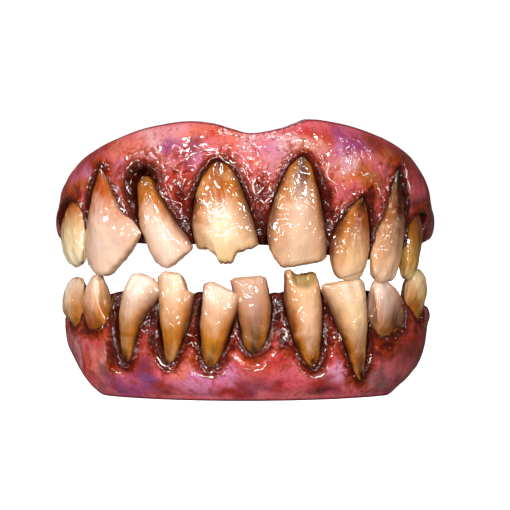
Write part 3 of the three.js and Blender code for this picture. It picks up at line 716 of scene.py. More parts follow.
def tooth_frame(jaw, row):
    """Where a tooth's neck is, its directions along, across and out, and its length."""
    neck_level = jaw.edge_level - jaw.bite * row["neck_up"] * jaw.height
    edge_level = jaw.edge_level + jaw.bite * row["reach"] * (MOUTH_GAP - CLEARANCE)
    neck = arch_point(jaw, row["neck_across"], neck_level)
    edge = arch_point(jaw, row["edge_across"], edge_level)
    out = way_out(jaw, (row["neck_across"] + row["edge_across"]) / 2)
    along = edge - neck
    along -= out * along.dot(out)
    length = np.linalg.norm(along)
    along /= length
    across = np.cross(along, out)
    if across[0] < 0:
        across = -across
    return SimpleNamespace(neck=neck, along=along, across=across, out=out, length=length)


def in_frame(where, points):
    """How far points lie along, across and out of a tooth, from its neck."""
    from_neck = points - where.neck
    return from_neck @ where.along, from_neck @ where.across, from_neck @ where.out


def half_width(row, length, t):
    """Half the width of a tooth at places along it, closing at its round neck."""
    widths = [row["neck"], row["middle"], row["edge"]]
    total = 0
    for i, width in enumerate(widths):
        share = width
        for j, place in enumerate(WIDTH_PLACES):
            if j != i:
                share = share * (t - place) / (WIDTH_PLACES[i] - place)
        total = total + share
    round_end = row["round"] * TOOTH_WIDTH / length
    closing = np.sqrt(1 - (1 - np.clip(t / round_end, 0, 1)) ** 2)
    return total * TOOTH_WIDTH * closing / 2


def front_of(row, t):
    """How far a tooth's front lies out from its neck, at places along it."""
    proud = row["proud"] * TOOTH_WIDTH
    rising = (NECK_SHOWN + proud) * over(CROWN_RISES, t)
    return rising - NECK_SHOWN - EDGE_SLOPE * over(FRONT_SLOPES, t)


def back_of(t):
    """The same of its back."""
    neck_back = NECK_RECESS + NECK_THICKNESS
    sinking = (TOOTH_DEPTH - neck_back) * over(BACK_SINKS, t)
    return EDGE_THINNING * over(BACK_THINS, t) - neck_back - sinking


def bow_of(row, t):
    """How far a tooth's middle is bowed sideways."""
    return row["bow"] * TOOTH_WIDTH * 4 * t * (1 - t)


def chips_at(row, place):
    """What is lost from the biting edge at places across a tooth, with its corners a little rounded."""
    places, losses = zip(*row["chips"])
    steps = np.linspace(-0.04, 0.04, 5)
    return sum(np.interp(place + step, places, losses) for step in steps) / len(steps)


def in_tooth(where, row, points):
    """Where points lie along a tooth, across from its bowed middle and out of it, their distance outside
    its outline, negative inside it, and how far round the outline they are, negative at its left."""
    u, v, w = in_frame(where, points)
    t = OUTLINE_END * np.linspace(0, 1, OUTLINE_POINTS) ** OUTLINE_CROWDING
    half = half_width(row, where.length, t)
    middle = bow_of(row, t)
    outline_u = np.concatenate([t, t]).astype(np.float32) * where.length
    outline_v = np.concatenate([middle - half, middle + half]).astype(np.float32)
    steps = np.hypot(np.diff(outline_u[: len(t)]), np.diff(outline_v[: len(t)]))
    travelled = np.concatenate([[0], np.cumsum(steps)])
    travelled = np.concatenate([-travelled, travelled])
    distance = np.zeros(len(u))
    arc = np.zeros(len(u))
    for start in range(0, len(u), OUTLINE_BATCH):
        part = slice(start, start + OUTLINE_BATCH)
        off_u = u[part, None].astype(np.float32) - outline_u
        off_v = v[part, None].astype(np.float32) - outline_v
        far = off_u * off_u + off_v * off_v
        nearest = far.argmin(1)
        distance[part] = np.sqrt(far[np.arange(len(nearest)), nearest])
        arc[part] = travelled[nearest]
    at = (u / where.length).clip(0, OUTLINE_END)
    offset = v - bow_of(row, at)
    beside = np.abs(offset) < half_width(row, where.length, at)
    inside = beside & (u > 0) & (u < OUTLINE_END * where.length)
    return u, offset, w, np.where(inside, -distance, distance), arc


def tooth_points(jaw, row, seed):
    """The fine surface of a tooth as rings of points, with where each lies along it, across it, on its front
    and from its biting edge. A place across goes on from 1 to 2 on the way round the back."""
    where = tooth_frame(jaw, row)
    x = np.linspace(0, 1, TOOTH_RINGS)
    t = (1 - RINGS_CROWDED) * x + RINGS_CROWDED * (1 - np.cos(np.pi * x)) / 2
    t = FIRST_RING + (1 - FIRST_RING) * t
    t = np.concatenate([t, np.ones(len(TOP_DRAWN_IN))])[:, None]
    drawn_in = np.concatenate([np.zeros(TOOTH_RINGS), TOP_DRAWN_IN])[:, None]
    angle = np.linspace(0, 2 * np.pi, TOOTH_AROUND, endpoint=False)
    power = 2 / SECTION_POWER
    place = -np.sign(np.cos(angle)) * np.abs(np.cos(angle)) ** power
    depth = np.sign(np.sin(angle)) * np.abs(np.sin(angle)) ** power
    front, back = front_of(row, t), back_of(t)
    half = np.maximum(half_width(row, where.length, t) - drawn_in * TOP_NARROWING, 0.01)
    grow = CHIPS_GROW if where.length > SHORT_TOOTH else (0, 1)
    lost = chips_at(row, place) * TOOTH_WIDTH * over(grow, t)
    jag_at = np.stack([place * 3.2, depth * 0.5, place * 0 + seed * 7.3], -1)
    jag = (np.abs(noise(jag_at, 0.7, seed)) + 0.4 * noise(jag_at, 0.25, seed)) * row["jag"]
    lost = lost + jag * over(JAG_GROWS, t)
    to_edge = where.length * (1 - t) + lost - lost[-1:]
    rounding = 1 - (1 - (to_edge / EDGE_ROUNDING).clip(0, 1)) ** 2
    half_depth = (front - back) / 2 * (EDGE_KEPT + (1 - EDGE_KEPT) * np.sqrt(rounding)) * (1 - drawn_in)
    u = where.length * t - lost + drawn_in * TOP_RISE
    v = place * half + bow_of(row, t)
    w = (front + back) / 2 + depth * half_depth
    points = where.neck + u[..., None] * where.along + v[..., None] * where.across + w[..., None] * where.out
    values = {
        "along": t - lost / where.length,
        "side": np.where(depth < 0, 2 * np.sign(place) - place, place),
        "front": depth,
        "to_edge": to_edge,
    }
    values = {key: np.broadcast_to(value, u.shape).copy() for key, value in values.items()}
    return where, points, values


def relief_of_tooth(where, points, values, seed):
    """How far a tooth's surface stands out from its plain form: low waves, ribs along it and lobes."""
    along = values["along"]
    local = np.stack(in_frame(where, points), -1)
    ribs = local * [RIB_SQUEEZE, 1, 1]
    lines = 0.05 * noise(ribs, 0.75, seed + 3) + 0.03 * ridges(ribs, 0.5, seed + 4)
    near_neck = 1 - over((0.1, 0.5), along)
    worn = over((0.75, 0.98), along)
    lobes = 0.05 * np.cos(values["side"] * 3 * np.pi) * over((0.5, 0.9), along) * (values["front"] > 0)
    return waves(local, TOOTH_WAVES, seed) + lines * (0.6 + near_neck + worn) + lobes


def press_behind(points, others):
    """Moves what would lie in a tooth that stands further out some of the way towards its back."""
    flat = points.reshape(-1, 3)
    for jaw, row in others:
        where = tooth_frame(jaw, row)
        u, v, w = in_frame(where, flat)
        reach = row["edge"] * TOOTH_WIDTH / 2 + PRESS_REACH
        near = (np.abs(v) < reach) & (u > -1) & (u < where.length + 1) & (np.abs(w) < PRESS_DEPTH)
        index = np.where(near)[0]
        if not len(index):
            continue
        u, _, w, outside, _ = in_tooth(where, row, flat[index])
        at = (u / where.length).clip(0, 1)
        limit = (1 - PRESSED_TO) * front_of(row, at) + PRESSED_TO * back_of(at)
        kept = over((-0.4, 2.4), outside)
        deep = np.where(w > limit, limit + (w - limit) * (0.68 + 0.32 * kept), w)
        flat[index] += (deep - w)[:, None] * where.out
    return flat.reshape(points.shape)


def scooped(where, points, values):
    """A tooth's points with a hollow broken out of its top, which leaves a spike at its left."""
    across = (values["side"] - SCOOP_SIDE[0]) / SCOOP_SIDE[1]
    along = (values["along"] - SCOOP_ALONG[0]) / SCOOP_ALONG[1]
    deep = (1 - across**2 - along**2).clip(0, 1)
    on_front = values["front"] > -0.2
    values["scoop"] = over((0.05, 0.45), deep) * on_front
    return points - (np.sqrt(deep) * on_front * SCOOP_DEPTH)[..., None] * where.out


def make_tooth(jaw, row, ahead, seed):
    """A tooth, pressed back where it would meet the teeth ahead of it."""
    where, points, values = tooth_points(jaw, row, seed)
    relief = relief_of_tooth(where, points, values, seed * 10)
    relief[-len(TOP_RELIEF):] *= np.array(TOP_RELIEF)[:, None]
    points = points + grid_normals(points) * relief[..., None]
    values["scoop"] = np.zeros(points.shape[:2])
    if row["name"] == SCOOPED_TOOTH:
        points = scooped(where, points, values)
    if "premolar" not in row["name"]:
        points = press_behind(points, ahead)
    del values["front"]
    return new_piece(row["name"] + "_enamel", points.reshape(-1, 3), ring_faces(points, True), values)


# Gums

def corner(at, before, after):
    """Three control points that round a corner tightly."""

    def towards(other):
        way = other - at
        return at + way * CORNER_ROUNDING / np.linalg.norm(way, axis=-1, keepdims=True).clip(1e-6)

    return [towards(before), at, towards(after)]


def gum_section(jaw, across):
    """Control points of a gum's section at places across, out and level, with points wanted at each."""
    edge = jaw.edge_level + jaw.bite * follow(jaw.rows, "edge", across) * MOUTH_GAP
    border = jaw.edge_level - jaw.bite * follow(jaw.rows, "border", across) * jaw.height
    tongue = jaw.edge_level - jaw.bite * follow(jaw.rows, "tongue", across) * jaw.height
    channel_back = -FRONT_WALL - CHANNEL_WIDTH
    tongue_side = channel_back - TONGUE_WALL

    def at(out, level):
        return np.stack(np.broadcast_arrays(np.asarray(out, float), level), -1)

    def underside(out):
        return edge - jaw.bite * FLOOR_DROP * out / tongue_side

    def floor_at(out):
        return underside(out) - jaw.bite * FLOOR

    control, counts = [], []
    for out, up, count in FRONT_FACE[:-1]:
        control.append(at(out * FRONT_WALL, edge + (border - edge) * up))
        counts.append(count)
    top_front = at(FRONT_FACE[-1][0] * FRONT_WALL, border)
    top_back = at(-FRONT_WALL, border)
    floor_front = at(-FRONT_WALL, floor_at(-FRONT_WALL))
    floor_back = at(channel_back, floor_at(channel_back))
    tongue_front = at(channel_back, tongue)
    tongue_back = at(tongue_side, tongue)
    under_back = at(tongue_side, underside(tongue_side))
    under_front = control[0]
    corners = [top_front, top_back, floor_front, floor_back, tongue_front, tongue_back, under_back]
    chain = [control[-1], *corners, under_front]
    for i, point in enumerate(corners, 1):
        control += corner(point, chain[i - 1], chain[i + 1])
        counts += [CORNER_POINTS] * 3
    for out in UNDERSIDE_PLACES:
        control.append(at(out, underside(out)))
        counts.append(UNDERSIDE_POINTS)
    return np.stack(control, 1), counts


def spline_of(control, counts):
    """A closed smooth curve near control points, with the wanted number of points at each."""
    size = control.shape[1]
    rows = []
    for i, count in enumerate(counts):
        for u in (np.arange(count) + 0.5) / count:
            row = np.zeros(size)
            row[i - 1] += 0.5 * (1 - u) ** 2
            row[i] += 0.5 + u * (1 - u)
            row[(i + 1) % size] += 0.5 * u * u
            rows.append(row)
    return np.einsum("mn,snk->smk", np.array(rows), control)


def linear(hexadecimal):
    """A screen colour as the linear one that light works with."""
    value = np.array([int(hexadecimal[i : i + 2], 16) / 255 for i in (0, 2, 4)])
    return np.where(value <= 0.04045, value / 12.92, ((value + 0.055) / 1.055) ** 2.4)


def front_point(jaw, across, up):
    """A point on a gum's front, by place across and height as a share of the gum's height."""
    level = jaw.edge_level - jaw.bite * up * jaw.height
    return arch_point(jaw, across, level) + way_out(jaw, across) * FRONT_BULGE * FRONT_WALL * 0.5


def spot(jaw, points, across, up, wide, high):
    """How near points are to the middle of a soft oval spot on a gum's front, from 0 to 1."""
    off = points - front_point(jaw, across, up)
    sideways = np.linalg.norm(off[:, :2], axis=1)
    return np.exp(-((sideways / wide) ** 2) - (off[:, 2] / high) ** 2)


def hump(at, middle_and_half):
    """A smooth hump with a height of 1, by its middle and half width."""
    return np.exp(-(((at - middle_and_half[0]) / middle_and_half[1]) ** 2))


def painted(jaw, points, across, on_front):
    """Colours of a gum: patches with wandering edges over a base, darker at the far right with painted shade.
    """
    wander = [noise(points, 3.2, seed) + 0.6 * noise(points, 1.3, seed + 5) for seed in (31, 32)]
    x = across * jaw.half_width + wander[0]
    level = points[:, 2] + wander[1] * 0.9
    colour = np.tile(linear(PAINT["base"]), (len(points), 1))
    for place, up, wide, high, name in jaw.patches:
        centre = jaw.edge_level - jaw.bite * up * jaw.height
        far = ((x - place * jaw.half_width) / (wide * PATCH_SPREAD)) ** 2
        far = far + ((level - centre) / (high * PATCH_SPREAD)) ** 2
        weight = np.exp(-(far**1.5))[:, None] * PATCH_STRENGTH
        colour = colour * (1 - weight) + linear(PAINT[name]) * weight
    # Painted shade that darkens the far right end
    colour *= 1 - FAR_RIGHT_PAINTED_SHADE * over(FAR_RIGHT, across)[:, None]
    hidden = (1 - on_front)[:, None]
    return colour * (1 - hidden) + linear(PAINT["hidden"]) * hidden


def plain_gum(jaw):
    """A gum's plain surface, with what is known of each of its points: its way out, its place across, its
    height as a share from bite edge to border, and how much it is free to move, away from the two ends,
    shown, and past the front."""
    sweep = math.radians(ARCH_SWEEP)
    across = np.sin(np.linspace(-sweep, sweep, GUM_STATIONS + 1))
    control, counts = gum_section(jaw, across)
    section = spline_of(control, counts)
    moved = follow(jaw.rows, "out", across)[:, None] * FRONT_WALL
    points = arch_point(jaw, across[:, None], section[..., 1])
    points = points + way_out(jaw, across)[:, None, :] * (section[..., 0] + moved)[..., None]

    def spread(values):
        return np.broadcast_to(values, points.shape[:2]).ravel()

    around = section.shape[1]
    index = np.arange(around)
    station = np.arange(GUM_STATIONS + 1)
    on_front = over((-0.5, 2), index) * (1 - over((FRONT_POINTS - 8, FRONT_POINTS), index))
    under = over((around - 14, around - 1), index)
    place = spread(across[:, None])
    edge = jaw.edge_level + jaw.bite * follow(jaw.rows, "edge", place) * MOUTH_GAP
    border = jaw.edge_level - jaw.bite * follow(jaw.rows, "border", place) * jaw.height
    flat = points.reshape(-1, 3)
    return SimpleNamespace(
        across=across,
        points=flat,
        way=grid_normals(points).reshape(-1, 3),
        place=place,
        height=(flat[:, 2] - edge) / (border - edge),
        free=spread(np.maximum(on_front, under)),
        ends=spread(over((0, 6), np.minimum(station, station[::-1]))[:, None]),
        shown=spread(np.maximum(1 - over((FRONT_POINTS - 1, FRONT_POINTS + 4), index), under)),
        past_front=spread(over((FRONT_POINTS + 1, FRONT_POINTS + 5), index)),
        wet=np.zeros(len(flat)),
        goo_and_pocket_shade=np.zeros(len(flat)),
    )


def relief_of_gum(jaw, points, seed):
    """How far a gum's surface stands out from its plain form: waves, lumps, pits and wrinkles."""
    relief = waves(points, GUM_WAVES, seed)
    for across, up, radius, height in jaw.bumps:
        far = np.linalg.norm(points - front_point(jaw, across, up), axis=1)
        relief += height * np.exp(-((far / radius) ** 2))
    for across, up, wide, high, height, size, longer in jaw.wrinkles:
        wrinkle = ridges(points * [1, 1, 1 / longer], size, seed + 7)
        relief += height * (wrinkle - 0.35) * spot(jaw, points, across, up, wide, high)
    return relief


def add_collar(jaw, gum, number, seed):
    """Raises a gum's rim round a tooth, with stringy goo on it, wets the pocket, and gives it dark goo paint
    with painted shade, darker where the pocket opens deeper. Gives back what the pocket's pressing needs."""
    row = jaw.teeth[number]
    where = tooth_frame(jaw, row)
    u, v, w = in_frame(where, gum.points)
    near = (np.abs(v) < row["edge"] * TOOTH_WIDTH / 2 + COLLAR_SIDE) & (np.abs(w) < COLLAR_DEPTH)
    near &= (u > -COLLAR_ABOVE) & (u < where.length + COLLAR_BELOW) & (gum.shown > 0)
    chosen = np.where(near)[0]
    points = gum.points[chosen]
    u, offset, w, outside, arc = in_tooth(where, row, points)
    at_neck = 1 - over(AT_NECK, (u / where.length).clip(0, 1))
    to_side = np.where(offset < 0, row["to_left"], row["to_right"])
    open_to = row["at_neck"] * at_neck + to_side * (1 - at_neck)
    deep_pocket = over(DEEP_POCKET, open_to)
    outside = outside + NECK_COVER * at_neck * (1 - deep_pocket)
    rough = 1 + 0.5 * noise(points, 1.1, seed + 20 + number) + 0.3 * noise(points, 0.45, seed + 40)
    rising = outside / (open_to * rough.clip(0.4, 2))
    beyond = (outside - open_to).clip(0)

    wander = outside + 0.35 * noise(points, 1.6, seed + 62)
    strings = ridges(np.stack([arc / 4, wander / 1.1, arc * 0 + number * 7.7], -1), 1, seed + 60)
    swell = 0.6 + 0.8 * noise(np.stack([arc, arc * 0, arc * 0 + number * 9.1], -1), 2.2, seed + 63)
    near_bite = over((0.0, 0.16), gum.height[chosen])
    rim = row["rim"] * hump(beyond, RIM) * swell
    goo_width = 0.7 + 0.3 * open_to
    goo = np.exp(-((beyond / goo_width) ** 2)) * near_bite
    dip = -DIP_DEPTH * hump(beyond, DIP)
    gum.relief[chosen] += rim * near_bite + dip + GOO_HEIGHT * goo * (strings - 0.35)
    gum.relief[chosen] += 0.05 * goo * noise(points, 0.9, seed + 61)
    root = hump(offset, (0, ROOT_HALF_WIDTH)) * over(ROOT_STARTS, u) * (1 - over(ROOT_ENDS, u))
    gum.relief[chosen] += ROOT_HEIGHT * root

    soaking = np.exp(-((beyond / (goo_width * 1.3)) ** 1.3))
    gum.wet[chosen] = np.maximum(gum.wet[chosen], soaking)
    # Dark goo paint with painted shade in the pocket, strongest where the pocket opens deep
    how_shaded = 0.55 + 0.45 * over((0.35, 0.8), open_to)
    gum.goo_and_pocket_shade[chosen] = np.maximum(gum.goo_and_pocket_shade[chosen], how_shaded * (1 - over((0.2, 1.2), rising)))
    return chosen, where, row, outside, rising, at_neck, deep_pocket


def press_pocket(gum, chosen, where, row, outside, rising, at_neck, deep_pocket):
    """Presses a gum in round a tooth: behind the tooth, and beside it down to its middle, or to its back in
    a deep pocket."""
    u, _, w = in_frame(where, gum.points[chosen])
    at = (u / where.length).clip(0, 1)
    back, front = back_of(at), front_of(row, at)
    beside = (front + back) / 2 * (1 - at_neck) + (front - PRESSED_APART) * at_neck
    beside = beside * (1 - deep_pocket) + back * deep_pocket
    outer = over((-0.15, 0.1), outside)
    limit = (back - PRESSED_APART) * (1 - outer) + beside * outer
    kept = over((0.05, 1.0), rising) * outer
    deep = np.where(w > limit, limit + (w - limit) * kept, w)
    gum.points[chosen] += ((deep - w) * np.minimum(gum.shown[chosen] * 3, 1))[:, None] * where.out


def wetness(jaw, gum):
    """How wet a gum is round its teeth, between them and at its wet spots."""
    between_teeth = (1 - over((0.12, 0.55), gum.height)) * (1 - over((0.8, 0.97), np.abs(gum.place)))
    wet = np.maximum(gum.wet, between_teeth)
    for across, up, wide, high, amount in jaw.wet_spots:
        wet = np.maximum(wet, amount * spot(jaw, gum.points, across, up, wide, high))
    return wet * gum.shown


def painted_border_shade(jaw, gum):
    """How much each point belongs to the painted shade along a gum's border and at its two ends, a dark line
    where the gum turns away.
    """
    border = 1 - over((0.05, 0.55), (1 - gum.height) * jaw.height)
    border = np.maximum(border, over((0.982, 0.995), np.abs(gum.place)))
    return border * (1 - gum.past_front)


def make_gum(jaw, seed):
    """A gum with its relief, collars and paint, and the wet strands that lie on it. The relief of each collar
    is added before any point moves, and the pockets are pressed in after that."""
    gum = plain_gum(jaw)
    gum.relief = relief_of_gum(jaw, gum.points, seed)
    pockets = [add_collar(jaw, gum, number, seed) for number in range(len(jaw.teeth))]
    gum.points = gum.points + gum.way * (gum.relief * gum.free * gum.ends)[:, None]
    for pocket in pockets:
        press_pocket(gum, *pocket)
    values = {"wet": wetness(jaw, gum), "goo_and_pocket_shade": gum.goo_and_pocket_shade * gum.shown, "border": painted_border_shade(jaw, gum)}
    colours = {"paint": painted(jaw, gum.points, gum.place, gum.shown)}
    grid = gum.points.reshape(len(gum.across), -1, 3)
    piece = new_piece(f"{jaw.name}_gum_painted", gum.points, ring_faces(grid), values, colours)
    return piece, make_strands(jaw, gum.across, grid[:, :FRONT_POINTS], seed)


def smoothed(points):
    """Points along a line, each drawn towards its neighbours three times."""
    for _ in range(3):
        points = np.concatenate([points[:1], (points[:-2] + 2 * points[1:-1] + points[2:]) / 4, points[-1:]])
    return points


def strand_tube(jaw, across, front, number, seed):
    """One wet strand on a gum's front, as rings of points: it wanders, swells, and tapers at its ends."""
    thick, path = jaw.strands[number]
    steps = np.linspace(0, len(path) - 1, STRAND_STEPS * (len(path) - 1) + 1)
    place, height = (np.interp(steps, np.arange(len(path)), column) for column in zip(*path))
    wave = np.stack([steps * 1.7, steps * 0 + number * 5.3, steps * 0], -1)
    place = smoothed(place) + STRAND_WANDER[0] * noise(wave, 0.6, seed + 70)
    height = smoothed(height) + STRAND_WANDER[1] * noise(wave, 0.6, seed + 71)
    level = jaw.edge_level - jaw.bite * jaw.height * height
    station = np.abs(across[:, None] - place).argmin(0)
    nearest = np.abs(front[station, :, 2] - level[:, None]).argmin(1)
    line = smoothed(front[station, nearest])
    out = way_out(jaw, place)
    beside = unit(np.cross(unit(np.gradient(line, axis=0)), out))
    taper = np.sin(np.linspace(0.12, np.pi - 0.12, len(line))) ** 0.6
    radius = thick * taper * (0.65 + 0.5 * noise(wave, 0.7, seed + 72))
    turn = np.linspace(0, 2 * np.pi, STRAND_SIDES, endpoint=False)
    ring = np.cos(turn)[:, None] * beside[:, None]
    ring = ring + STRAND_FLATNESS * np.sin(turn)[:, None] * out[:, None]
    return (line + out * thick * STRAND_LIFT)[:, None] + ring * radius[:, None, None]


def make_strands(jaw, across, front, seed):
    """All the wet strands of a gum, as one mesh of closed tubes."""
    points, faces = [], []
    for number in range(len(jaw.strands)):
        tube = strand_tube(jaw, across, front, number, seed)
        faces += [[len(points) + i for i in face] for face in ring_faces(tube)]
        points += tube.reshape(-1, 3).tolist()
    return new_piece(f"{jaw.name}_wet_strands", np.array(points), faces)


# Materials

class Finish:
    """A material, with short ways to add its nodes."""

    def __init__(self, name):
        self.material = bpy.data.materials.new(name)
        self.material.use_nodes = True
        self.tree = self.material.node_tree
        self.shader = self.tree.nodes["Principled BSDF"]
        self.place = self.add("ShaderNodeTexCoord").outputs["Object"]

    def add(self, kind, **settings):
        node = self.tree.nodes.new(kind)
        for key, value in settings.items():
            setattr(node, key, value)
        return node

    def feed(self, socket, value):
        if isinstance(value, bpy.types.NodeSocket):
            self.tree.links.new(value, socket)
        else:
            socket.default_value = value

    def value(self, name, output="Fac"):
        return self.add("ShaderNodeAttribute", attribute_name=name).outputs[output]

    def noise(self, size, detail=3, distortion=0, longer=1, offset=0):
        """Noise with lumps of a size in millimetres, drawn out upwards a number of times."""
        mapping = self.add("ShaderNodeMapping")
        mapping.inputs["Location"].default_value = (offset, offset * 0.7, offset * 1.3)
        mapping.inputs["Scale"].default_value = [1 / (size * MM * times) for times in (1, 1, longer)]
        self.feed(mapping.inputs["Vector"], self.place)
        node = self.add("ShaderNodeTexNoise")
        node.inputs["Scale"].default_value = 1
        node.inputs["Detail"].default_value = detail
        node.inputs["Distortion"].default_value = distortion
        self.feed(node.inputs["Vector"], mapping.outputs["Vector"])
        return node.outputs["Fac"]

    def between(self, value, low, high, to_low=0, to_high=1):
        """A smooth change from one value to another while a third goes from low to high."""
        node = self.add("ShaderNodeMapRange", interpolation_type="SMOOTHSTEP")
        for name, number in (("From Min", low), ("From Max", high), ("To Min", to_low), ("To Max", to_high)):
            self.feed(node.inputs[name], number)
        self.feed(node.inputs["Value"], value)
        return node.outputs["Result"]

    def maths(self, operation, *values):
        node = self.add("ShaderNodeMath", operation=operation)
        for socket, value in zip(node.inputs, values):
            self.feed(socket, value)
        return node.outputs[0]

    def swing(self, noise, size):
        """Noise as a swing to both sides of 0."""
        return self.maths("MULTIPLY", self.maths("SUBTRACT", noise, 0.5), size)

    def mix(self, share, a, b):
        node = self.add("ShaderNodeMix", data_type="RGBA")
        self.feed(node.inputs[0], share)
        self.feed(node.inputs[6], a)
        self.feed(node.inputs[7], b)
        return node.outputs[2]

    def tint(self, colour, value, low, high, share, paint):
        """A colour with paint over it, up to a share of it while a value goes from low to high."""
        return self.mix(self.between(value, low, high, 0, share), colour, rgba(paint))

    def ramp(self, value, stops):
        node = self.add("ShaderNodeValToRGB")
        elements = node.color_ramp.elements
        while len(elements) < len(stops):
            elements.new(0.5)
        for element, (place, colour) in zip(elements, stops):
            element.position = place
            element.color = colour
        self.feed(node.inputs["Fac"], value)
        return node.outputs["Color"]

    def bump(self, *layers):
        """Bumps from pairs of a height from 0 to 1 and its size in millimetres."""
        normal = None
        for height, size in layers:
            node = self.add("ShaderNodeBump")
            node.inputs["Strength"].default_value = 1
            node.inputs["Distance"].default_value = size * MM
            self.feed(node.inputs["Height"], height)
            if normal is not None:
                self.feed(node.inputs["Normal"], normal)
            normal = node.outputs["Normal"]
        return normal

    def shade(self, **inputs):
        for name, value in inputs.items():
            self.feed(self.shader.inputs[name.replace("_", " ")], value)


def rgba(hexadecimal):
    return [*linear(hexadecimal), 1]


# Speckles over a gum's paint: the size in millimetres, detail, distortion, stretch and offset of their
# noise, the values of it between which they come up, how strong they are, and their paint
GUM_SPECKLES = [
    (4.0, 4, 0.6, 1, 0, 0.45, 0.7, 0.12, "EC9AA0"),
    (2.2, 5, 1.2, 1, 11, 0.52, 0.68, 0.3, "A82418"),
    (1.1, 4, 0.8, 1, 3, 0.56, 0.72, 0.25, "7E1E30"),
    (0.35, 3, 0, 1, 7, 0.6, 0.75, 0.25, "EBA8A0"),
    (0.5, 4, 1.5, 3, 17, 0.58, 0.68, 0.35, "9C2428"),
    (0.28, 1, 0, 1, 23, 0.74, 0.8, 0.7, "3E121A"),
]

# What soaks a wet gum: the wetness between which each layer comes up, how strong it is, and its paint
GUM_SOAKING = [(0.02, 0.32, 0.85, "9C3818"), (0.25, 0.6, 0.95, "64180C"), (0.65, 1.0, 0.92, "3A100A")]


def gum_finish(name):
    look = Finish(name)
    wet, goo_and_pocket_shade, border = look.value("wet"), look.value("goo_and_pocket_shade"), look.value("border")
    colour = look.value("paint", "Color")
    for size, detail, distortion, longer, offset, low, high, share, paint in GUM_SPECKLES:
        speckles = look.noise(size, detail, distortion, longer, offset)
        colour = look.tint(colour, speckles, low, high, share, paint)
    broken = look.maths("MULTIPLY_ADD", look.noise(1.0, 4, 1.0, offset=29), 1.2, -0.6)
    soaked = look.maths("ADD", wet, broken)
    for low, high, share, paint in GUM_SOAKING:
        colour = look.tint(colour, soaked, low, high, share, paint)
    # Dark goo paint with painted shade in the pockets round the teeth
    goo_and_shade_colour = look.mix(look.noise(0.5, 3, 1, offset=31), rgba("1C0805"), rgba("561C0C"))
    colour = look.mix(look.between(goo_and_pocket_shade, 0.25, 0.9, 0, 0.92), colour, goo_and_shade_colour)
    # Painted shade: a dark line along the border and at the two ends, where the gum turns away
    colour = look.tint(colour, border, 0.2, 0.9, 0.95, "6A0C14")

    deeper = look.add("ShaderNodeHueSaturation")
    deeper.inputs["Saturation"].default_value = 1.02
    deeper.inputs["Value"].default_value = 0.95
    look.feed(deeper.inputs["Color"], colour)

    rough = look.between(look.noise(1.6, 3, offset=37), 0.3, 0.7, 0.25, 0.45)
    lumps = look.noise(1.8, 3, 0.5, offset=43)
    normal = look.bump((lumps, 0.3), (look.noise(0.22, 2, offset=41), 0.03))
    strings = look.noise(1.5, 0, 1.5, offset=47)
    for share in (look.between(wet, 0.15, 0.6, 0.1, 1), look.between(goo_and_pocket_shade, 0.2, 0.8, 1, 0.3)):
        strings = look.maths("MULTIPLY", strings, share)
    coat_lumps = look.noise(1.8, 1, 0.5, offset=43)
    coat_normal = look.bump((coat_lumps, 0.28), (look.noise(0.9, 0, 1, offset=53), 0.03), (strings, 0.45))
    look.shade(Base_Color=deeper.outputs["Color"], Roughness=rough, Normal=normal, Coat_Normal=coat_normal)
    look.shade(Coat_Weight=look.between(goo_and_pocket_shade, 0.25, 0.85, 1, 0.35), Coat_Roughness=0.03)
    look.shade(Subsurface_Weight=0.1, Subsurface_Scale=0.001, Subsurface_Radius=(1, 0.35, 0.25))
    look.shade(Specular_IOR_Level=0.1)
    return look.material


def strand_finish_with_painted_glints():
    look = Finish("wet_strand_with_painted_glints")
    # Pale patches along a strand are painted glints over its red-brown wet colour
    tone = look.between(look.noise(0.7, 2, offset=5), 0.42, 0.56)
    colour = look.mix(tone, rgba("8A3020"), rgba("FFF4EA"))
    look.shade(Base_Color=colour, Roughness=0.12, Coat_Weight=1.0, Coat_Roughness=0.03)
    look.shade(Normal=look.bump((look.noise(0.5, 2, offset=9), 0.04)))
    return look.material


# Teeth whose outline as the photo shows it isn't where their front turns into their sides
SEEN_FROM_SIDE = ("premolar", "upper_left_canine", "upper_right_canine")


